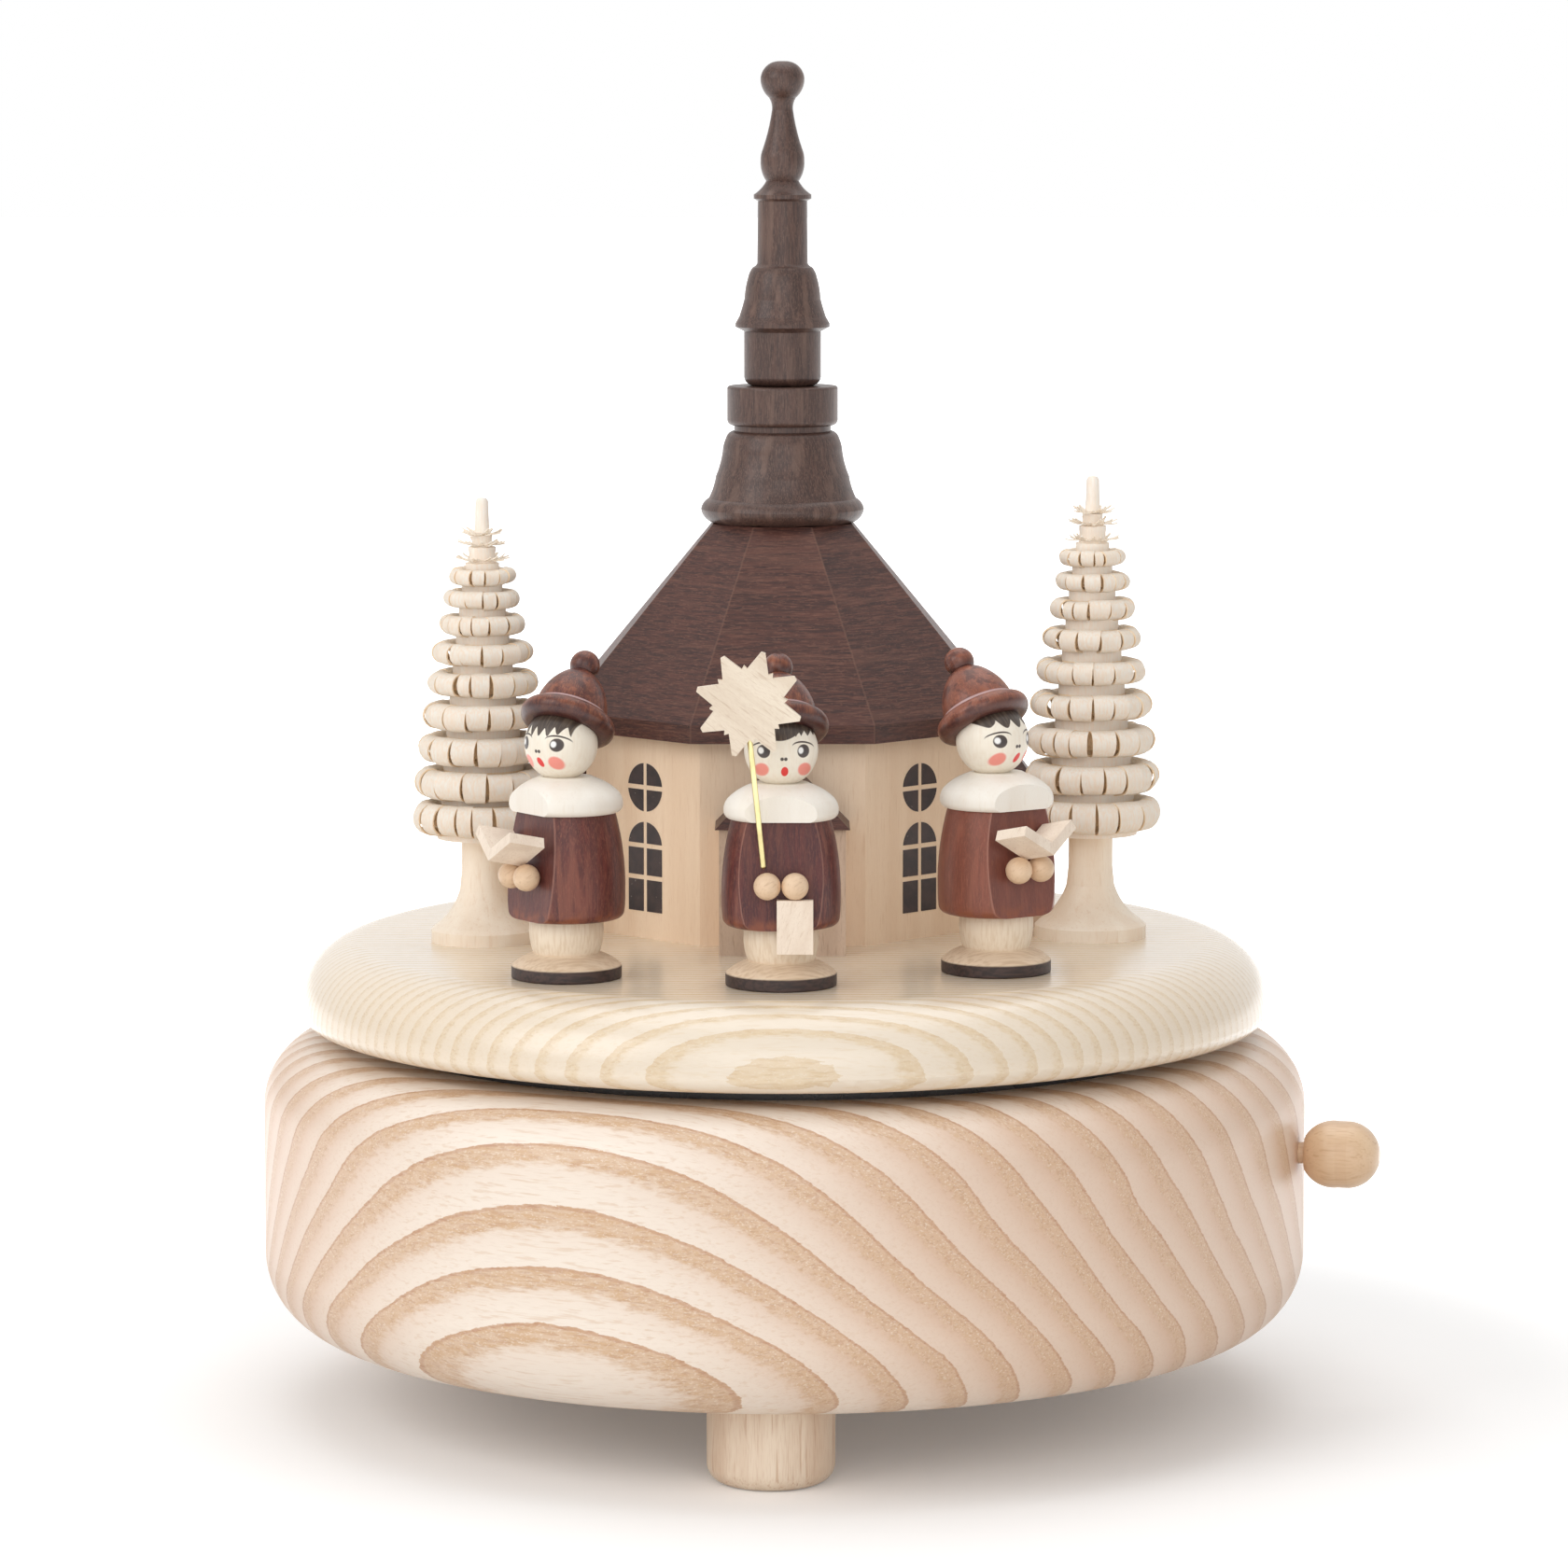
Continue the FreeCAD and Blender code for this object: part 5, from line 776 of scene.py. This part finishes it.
def quarter_pane(radius, way_across, way_up):
    """A quarter of a disc, less half a bar along its two straight edges."""
    half = WINDOW_BAR / 2
    start = math.asin(half / radius)
    end = math.pi / 2 - start
    outline = [(half, half)]
    for step in range(ARC_STEPS + 1):
        angle = start + (end - start) * step / ARC_STEPS
        outline.append((radius * math.cos(angle), radius * math.sin(angle)))
    outline = [(across * way_across, up * way_up) for across, up in outline]
    return outline if way_across * way_up > 0 else outline[::-1]


def square_pane(way_across, low, high):
    near, far = WINDOW_BAR / 2, ARCH_RADIUS
    outline = [(near, low), (far, low), (far, high), (near, high)]
    outline = [(across * way_across, up) for across, up in outline]
    return outline if way_across > 0 else outline[::-1]


def raised(pane, height):
    return [(across, height + up) for across, up in pane]


def window_panes():
    """Every pane of one face's two windows: an outline of (across, height)."""
    half = WINDOW_BAR / 2
    panes = []
    for way in (-1, 1):
        for way_up in (-1, 1):
            panes.append(raised(quarter_pane(ROUND_RADIUS, way, way_up), ROUND_HEIGHT))
        panes.append(raised(quarter_pane(ARCH_RADIUS, way, 1), ARCH_SPRING))
        panes.append(square_pane(way, ARCH_MIDDLE + half, ARCH_SPRING - half))
        panes.append(square_pane(way, ARCH_SILL, ARCH_MIDDLE - half))
    return panes


def window_print():
    graph = Graph("window_print", roughness=0.5)
    speck = graph.noise(graph.place, 2.2, 2.0)
    cloud = graph.noise(graph.place, 0.6, 2.0)
    tone = graph.mix(graph.smooth(cloud, 0.35, 0.7), srgb(62, 50, 50), srgb(48, 40, 42))
    worn = graph.times(graph.smooth(speck, 0.72, 0.76), 0.5)
    tone = graph.mix(worn, tone, srgb(170, 160, 152))
    return graph.finish(tone, speck, FINE_DEPTH)


def church_windows():
    points, faces = [], []
    for azimuth, shift_way in SLANTING_FACES:
        turn = math.radians(azimuth)
        out = Vector((math.sin(turn), -math.cos(turn), 0))
        across = Vector((math.cos(turn), math.sin(turn), 0))
        foot = CHURCH_FOOT + out * WALL_APOTHEM + across * WINDOW_SHIFT * shift_way
        for pane in window_panes():
            first = len(points)
            count = len(pane)
            for lift in (-HALF_PRINT, HALF_PRINT):
                for aside, height in pane:
                    points.append(foot + out * lift + across * aside + Vector((0, 0, height)))
            back = list(range(first, first + count))
            front = list(range(first + count, first + 2 * count))
            faces += [front, back[::-1]]
            for step in range(count):
                after = (step + 1) % count
                faces.append([back[step], back[after], front[after], front[step]])
    make_piece("church_windows", points, faces, "turntable", [window_print()],
               smooth=False)


church_windows()


# Shaved trees: thin shavings curled up from a turned core, and short spikes near the top

TREE_SEEDS = {"left": 11, "right": 23}
TREE_TIERS = 12
CURLED_TIERS = 9
STUB_HEIGHT = 4.2
STUB_PROFILE = ((0.95, 4.4), (0.88, 2.9), (0.80, 0.5), (0.55, 0.1), (0.0, 0.0))
FIRST_TIER = 2.7
TIER_CROWDING = 0.34
TIER_REACH = 8.7
TIER_REACH_LOSS = 6.0
TIER_REACH_BULGE = 0.35
TIER_HALF = 1.85
TIER_HALF_LOSS = 1.35

CORE_RADIUS = 5.8
CORE_RADIUS_LOSS = 0.41
CORE_GROOVE = 0.45
CORE_LEAST = 0.9
CORE_SIDES = 40
CORE_FOOT_ROWS = 2
CORE_TIER_ROWS = 4
ROOT_DEPTH = 0.3
ROOT_RUN = 0.25

SHAVING_THICKNESS = 0.2
MOST_SHAVINGS = 19
SHAVINGS_LOSS = 0.7
STRIP_STEPS = 3
CURL_STEPS = 15
CURL_START = -80
CURL_SWEEP = 310
CURL_TIGHTENS = math.pi * 0.6
CURL_TIGHTENING = 0.30 / 2.2
CURL_OVERLAP = 0.15

SPIKES = 22
SPIKE_STEPS = 6
SPIKE_THICKNESS = 0.14
SPIKE_CUP = 0.03
SPIKE_DROP = 0.35

# Finishes of the faces; the two inside ones carry a painted warm glow
OUTSIDE, INSIDE, CORE_INSIDE, CORE_OUTSIDE = range(4)


def tier_height(low, high, tier):
    """Height of a tier's middle: the tiers crowd together towards the top."""
    share = tier / (TREE_TIERS - 1)
    span = high - STUB_HEIGHT - low - FIRST_TIER
    crowded = (1 + TIER_CROWDING) * share - TIER_CROWDING * share ** 3
    return low + FIRST_TIER + span * crowded


def tier_reach(tier):
    share = tier / (TREE_TIERS - 1)
    bulge = TIER_REACH_BULGE * math.sin(2 * math.pi * share)
    return TIER_REACH - TIER_REACH_LOSS * share + bulge


def tier_half(tier):
    return TIER_HALF - TIER_HALF_LOSS * tier / (TREE_TIERS - 1)


def core_radius(tier):
    return CORE_RADIUS - CORE_RADIUS_LOSS * tier


def curl_path(core, reach, half, middle):
    """A shaving's middle line as (radius, height).

    It leaves the core low down, goes round and comes back in at the top.
    """
    deep = (reach - core) / 2 + CURL_OVERLAP
    centre = reach - deep
    path = [(core - ROOT_DEPTH, middle - half * 1.12), (core + ROOT_RUN, middle - half * 1.1)]
    for step in range(CURL_STEPS + 1):
        angle = math.radians(CURL_START + CURL_SWEEP * step / CURL_STEPS)
        shrink = 1.0 - CURL_TIGHTENING * max(angle - CURL_TIGHTENS, 0.0)
        radius = centre + deep * shrink * math.cos(angle)
        path.append((radius, middle + half * shrink * math.sin(angle)))
    return path


def path_shares(path):
    """How far along the path each of its points is, from 0 to 1."""
    return [index / (len(path) - 1) for index in range(len(path))]


def strip(heap, path, centre, azimuth, widths, thickness, cup, twist, back=INSIDE):
    """A thin strip along a path of (radius, height), with a width for each point of it."""
    points, faces, finish = heap
    out = Vector((math.sin(azimuth), -math.cos(azimuth), 0))
    side = Vector((math.cos(azimuth), math.sin(azimuth), 0))
    first = len(points)
    last = len(path) - 1
    columns = STRIP_STEPS + 1
    for index, (share, width) in enumerate(zip(path_shares(path), widths)):
        radius, height = path[index]
        before = path[max(index - 1, 0)]
        after = path[min(index + 1, last)]
        along = Vector((after[0] - before[0], after[1] - before[1]))
        along.normalize()
        normal = (along.y, -along.x)
        for face_way in (1, -1):
            for step in range(columns):
                offset = (step / STRIP_STEPS - 0.5) * width
                hollow = cup * (1 - (2 * offset / width) ** 2)
                lift = face_way * thickness / 2 + hollow
                reach = radius + normal[0] * lift
                rise = height + normal[1] * lift
                aside = offset + twist * share
                points.append(centre + out * reach + side * aside + Vector((0, 0, rise)))

    def add_face(ring, which):
        faces.append(ring)
        finish.append(which)

    for index in range(last):
        here = first + index * 2 * columns
        there = here + 2 * columns
        here_back = here + columns
        there_back = there + columns
        for step in range(STRIP_STEPS):
            after = step + 1
            add_face([here + step, here + after, there + after, there + step], OUTSIDE)
            add_face([there_back + step, there_back + after, here_back + after,
                      here_back + step], back)
        for edge in (0, STRIP_STEPS):
            ring = [here + edge, there + edge, there_back + edge, here_back + edge]
            add_face(ring if edge == 0 else ring[::-1], back)
    for index in (0, last):
        here = first + index * 2 * columns
        here_back = here + columns
        for step in range(STRIP_STEPS):
            ring = [here + step, here + step + 1, here_back + step + 1, here_back + step]
            add_face(ring if index == 0 else ring[::-1], back)


def crown_core(heap, centre, low, high):
    """The turned core, stepped in under each tier, with its stub on top."""
    points, faces, finish = heap
    profile = [(0.0, low), (core_radius(0), low)]
    for tier in range(TREE_TIERS):
        middle = tier_height(low, high, tier)
        half = tier_half(tier) * 0.95
        inner = max(core_radius(tier) - CORE_GROOVE, CORE_LEAST)
        profile.append((core_radius(tier), middle - half * 1.1))
        profile.append((inner, middle - half * 0.9))
        profile.append((inner, middle + half * 0.9))
        profile.append((core_radius(tier + 1), middle + half))
    profile += [(radius, high - below_top) for radius, below_top in STUB_PROFILE]
    first = len(points)
    for radius, height in profile:
        for step in range(CORE_SIDES):
            angle = 2 * math.pi * step / CORE_SIDES
            place = Vector((math.cos(angle) * radius, math.sin(angle) * radius, height))
            points.append(centre + place)
    for index in range(len(profile) - 1):
        tier, row = divmod(index - CORE_FOOT_ROWS, CORE_TIER_ROWS)
        inside = 0 <= tier < CURLED_TIERS and row < CORE_TIER_ROWS - 1
        here = first + index * CORE_SIDES
        there = here + CORE_SIDES
        for step in range(CORE_SIDES):
            after = (step + 1) % CORE_SIDES
            faces.append([here + step, here + after, there + after, there + step])
            finish.append(CORE_INSIDE if inside else CORE_OUTSIDE)


def curled_tier(heap, dice, centre, tier, middle):
    """Shavings that curl up from the core and back to it, each of its own width."""
    core = core_radius(tier)
    count = round(MOST_SHAVINGS - tier * SHAVINGS_LOSS)
    cuts = [dice.uniform(0.72, 1.35) for _ in range(count)]
    total = sum(cuts)
    angle = dice.uniform(0, 2 * math.pi)
    for cut in cuts:
        pitch = cut / total * 2 * math.pi
        azimuth = angle + pitch / 2
        angle += pitch
        reach = tier_reach(tier) * dice.uniform(0.955, 1.02)
        half = tier_half(tier) * dice.uniform(0.93, 1.05)
        place = middle + dice.uniform(-0.10, 0.10)
        base = 2 * core * math.tan(pitch / 2) * 0.98
        end = 2 * reach * math.tan(pitch / 2) * dice.uniform(0.80, 0.97)
        path = curl_path(core, reach, half, place)
        widths = [base + (end - base) * min(share * 3.0, 1.0) for share in path_shares(path)]
        cup = dice.uniform(0.0, 0.05)
        twist = dice.uniform(-0.25, 0.25)
        strip(heap, path, centre, azimuth, widths, SHAVING_THICKNESS, cup, twist)


def spiked_tier(heap, dice, centre, tier, middle):
    """Short thin shavings that stand out from the core."""
    root = core_radius(tier) - ROOT_DEPTH
    for index in range(SPIKES):
        azimuth = 2 * math.pi * (index + dice.uniform(-0.3, 0.3)) / SPIKES
        reach = tier_reach(tier) * dice.uniform(0.80, 1.04)
        rise = dice.uniform(-0.35, 0.45)
        path = []
        for step in range(SPIKE_STEPS + 1):
            share = step / SPIKE_STEPS
            height = middle - SPIKE_DROP + rise * share + SPIKE_DROP * share * share
            path.append((root + (reach - root) * share, height))
        wide = dice.uniform(0.5, 0.85)
        widths = [wide * (1.0 - 0.75 * share) for share in path_shares(path)]
        twist = dice.uniform(-0.5, 0.5)
        strip(heap, path, centre, azimuth, widths, SPIKE_THICKNESS, SPIKE_CUP, twist, OUTSIDE)


SHAVING_DEPTH = 0.02
SHAVING_GLOW = srgb(255, 243, 222)
GLOW_SHARE = 0.2


def shaving_wood(name, light, warm, fleck, thin):
    """Pale wood. Light comes through it where it is thin."""
    graph = Graph(name, roughness=0.6, specular=0.3)
    fine = graph.noise(graph.along(UPRIGHT, 6), 4.0, 2.0)
    broad = graph.noise(graph.place, 0.5, 2.0)
    colour = graph.mix(graph.smooth(fine, 0.35, 0.7), light, warm)
    colour = graph.mix(graph.times(graph.smooth(broad, 0.4, 0.7), 0.4), colour, fleck)
    made = graph.finish(colour, fine, SHAVING_DEPTH)
    if thin:
        through = graph.tree.nodes.new("ShaderNodeBsdfTranslucent")
        through.inputs["Color"].default_value = SHAVING_GLOW
        both = graph.tree.nodes.new("ShaderNodeMixShader")
        both.inputs[0].default_value = GLOW_SHARE
        surface = graph.tree.nodes["Material Output"].inputs["Surface"]
        graph.tree.links.new(graph.shader.outputs[0], both.inputs[1])
        graph.tree.links.new(through.outputs[0], both.inputs[2])
        graph.tree.links.new(both.outputs[0], surface)
    return made


# The pale wood of the shavings is real. The inside faces of the shavings and the core within the
# curls are tinted warmer, a painted glow that stands in for light coming through the shavings.
shaving_finishes = [
    shaving_wood("shaving_outside", srgb(255, 251, 242), srgb(253, 238, 220),
                 srgb(255, 240, 222), thin=True),
    shaving_wood("shaving_inside_painted_glow", srgb(255, 236, 208), srgb(255, 226, 190),
                 srgb(255, 230, 196), thin=True),
    shaving_wood("core_inside_painted_glow", srgb(255, 236, 206), srgb(255, 226, 190),
                 srgb(255, 228, 194), thin=False),
    shaving_wood("core_outside", srgb(255, 247, 236), srgb(255, 240, 224),
                 srgb(252, 234, 216), thin=False),
]


def tree_crown(side, seed):
    """Shavings in place of the frame's plain crown."""
    dice = random.Random(seed)
    low, high = low_high(side + "_tree_crown")
    centre = Vector(((low.x + high.x) / 2, (low.y + high.y) / 2, 0))
    points, faces, finish = heap = ([], [], [])
    crown_core(heap, centre, low.z, high.z)
    for tier in range(TREE_TIERS):
        grow = curled_tier if tier < CURLED_TIERS else spiked_tier
        grow(heap, dice, centre, tier, tier_height(low.z, high.z, tier))
    crown = make_piece(side + "_tree_shavings", points, faces, "turntable",
                       shaving_finishes, finish)
    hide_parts(side + "_tree_crown")


for side, seed in TREE_SEEDS.items():
    tree_crown(side, seed)
    dress(side + "_tree_foot",
          fine_wood(side + "_tree_foot_wood", UPRIGHT, srgb(253, 240, 222), srgb(234, 208, 180),
                    flecks=0.4, scale=0.8, stretch=12))


# Floor, world and lamps: in metres and watts, but for the reach of the shadow

WHITE = (1, 1, 1, 1)
FLOOR_HALF = 6.0
SHADOW_REACH = 190.0
FLOOR_GLOW = 0.10
AMBIENT = 0.52
LAMP_AIM = Vector((0, 0, 0.08))
LAMPS = {
    "key_light": {"place": (-0.80, -0.60, 0.65), "size": (0.7, 0.7), "power": 3.7},
    "front_light": {"place": (0.05, -1.30, 0.55), "size": (1.0, 0.8), "power": 3.9},
    "top_light": {"place": (0.0, 0.15, 1.0), "size": (0.9, 0.9), "power": 3.3},
}


def floor():
    """A pale floor that the camera sees as white, with the object's shadow on it."""
    corners = [(-FLOOR_HALF, -FLOOR_HALF, 0), (FLOOR_HALF, -FLOOR_HALF, 0),
               (FLOOR_HALF, FLOOR_HALF, 0), (-FLOOR_HALF, FLOOR_HALF, 0)]
    mesh = bpy.data.meshes.new("floor")
    mesh.from_pydata(corners, [], [[0, 1, 2, 3]])
    piece = bpy.data.objects.new("floor", mesh)
    bpy.context.scene.collection.objects.link(piece)
    graph = Graph("floor_white", roughness=0.9, specular=0.1)
    light_path = graph.tree.nodes.new("ShaderNodeLightPath")
    seen = graph.most(light_path.outputs["Is Camera Ray"], light_path.outputs["Is Glossy Ray"],
                      light_path.outputs["Is Transmission Ray"])
    mottle = graph.noise(graph.place, 0.02, 2.0)
    paper = graph.mix(graph.times(mottle, 0.2), srgb(238, 236, 233), srgb(232, 230, 227))
    colour = graph.mix(seen, paper, WHITE)
    away = graph.smooth(graph.vector("LENGTH", graph.place), SHADOW_REACH * 0.5, SHADOW_REACH)
    glow = graph.times(seen, graph.add(FLOOR_GLOW, away))
    graph.shader.inputs["Emission Color"].default_value = WHITE
    graph.feed(graph.shader.inputs["Emission Strength"], glow)
    mesh.materials.append(graph.finish(colour, mottle, FINE_DEPTH))


def world():
    """White all round where it is seen or mirrored, and a soft even light elsewhere."""
    sky = bpy.data.worlds.new("studio")
    bpy.context.scene.world = sky
    sky.use_nodes = True
    tree = sky.node_tree
    background = tree.nodes["Background"]
    background.inputs["Color"].default_value = WHITE
    light_path = tree.nodes.new("ShaderNodeLightPath")
    seen = light_path.outputs["Is Camera Ray"]
    for label in ("Is Glossy Ray", "Is Transmission Ray"):
        joined = tree.nodes.new("ShaderNodeMath")
        joined.operation = "MAXIMUM"
        tree.links.new(seen, joined.inputs[0])
        tree.links.new(light_path.outputs[label], joined.inputs[1])
        seen = joined.outputs[0]
    spread = tree.nodes.new("ShaderNodeMapRange")
    spread.inputs["To Min"].default_value = AMBIENT
    spread.inputs["To Max"].default_value = 1.0
    tree.links.new(seen, spread.inputs["Value"])
    tree.links.new(spread.outputs[0], background.inputs["Strength"])


def lamp(name, place, size, power):
    light = bpy.data.lights.new(name, "AREA")
    light.shape = "RECTANGLE"
    light.size, light.size_y = size
    light.energy = power
    piece = bpy.data.objects.new(name, light)
    bpy.context.scene.collection.objects.link(piece)
    piece.location = place
    piece.rotation_euler = (LAMP_AIM - Vector(place)).to_track_quat("-Z", "Y").to_euler()


floor()
world()
for lamp_name, setting in LAMPS.items():
    lamp(lamp_name, **setting)


# Camera: fitted to the photograph

PHOTO_SIDE = 1680
CAMERA_DISTANCE = 750.0
CAMERA_HEIGHT = 167.7
CAMERA_PITCH = 6.8
FOCAL_PIXELS = 6446.0
CENTRE_SHIFT_PIXELS = -0.5
SENSOR = 36.0
NEAREST = 10.0
FARTHEST = 50000.0

camera_data = bpy.data.cameras.new("camera")
camera_data.sensor_width = SENSOR
camera_data.lens = FOCAL_PIXELS * SENSOR / PHOTO_SIDE
camera_data.shift_x = CENTRE_SHIFT_PIXELS / PHOTO_SIDE
camera_data.clip_start = NEAREST * MM
camera_data.clip_end = FARTHEST * MM
camera = bpy.data.objects.new("camera", camera_data)
camera.location = (0, -CAMERA_DISTANCE * MM, CAMERA_HEIGHT * MM)
camera.rotation_euler = (math.radians(90 - CAMERA_PITCH), 0, 0)
bpy.context.scene.collection.objects.link(camera)
bpy.context.scene.camera = camera
bpy.context.scene.view_settings.view_transform = "Standard"
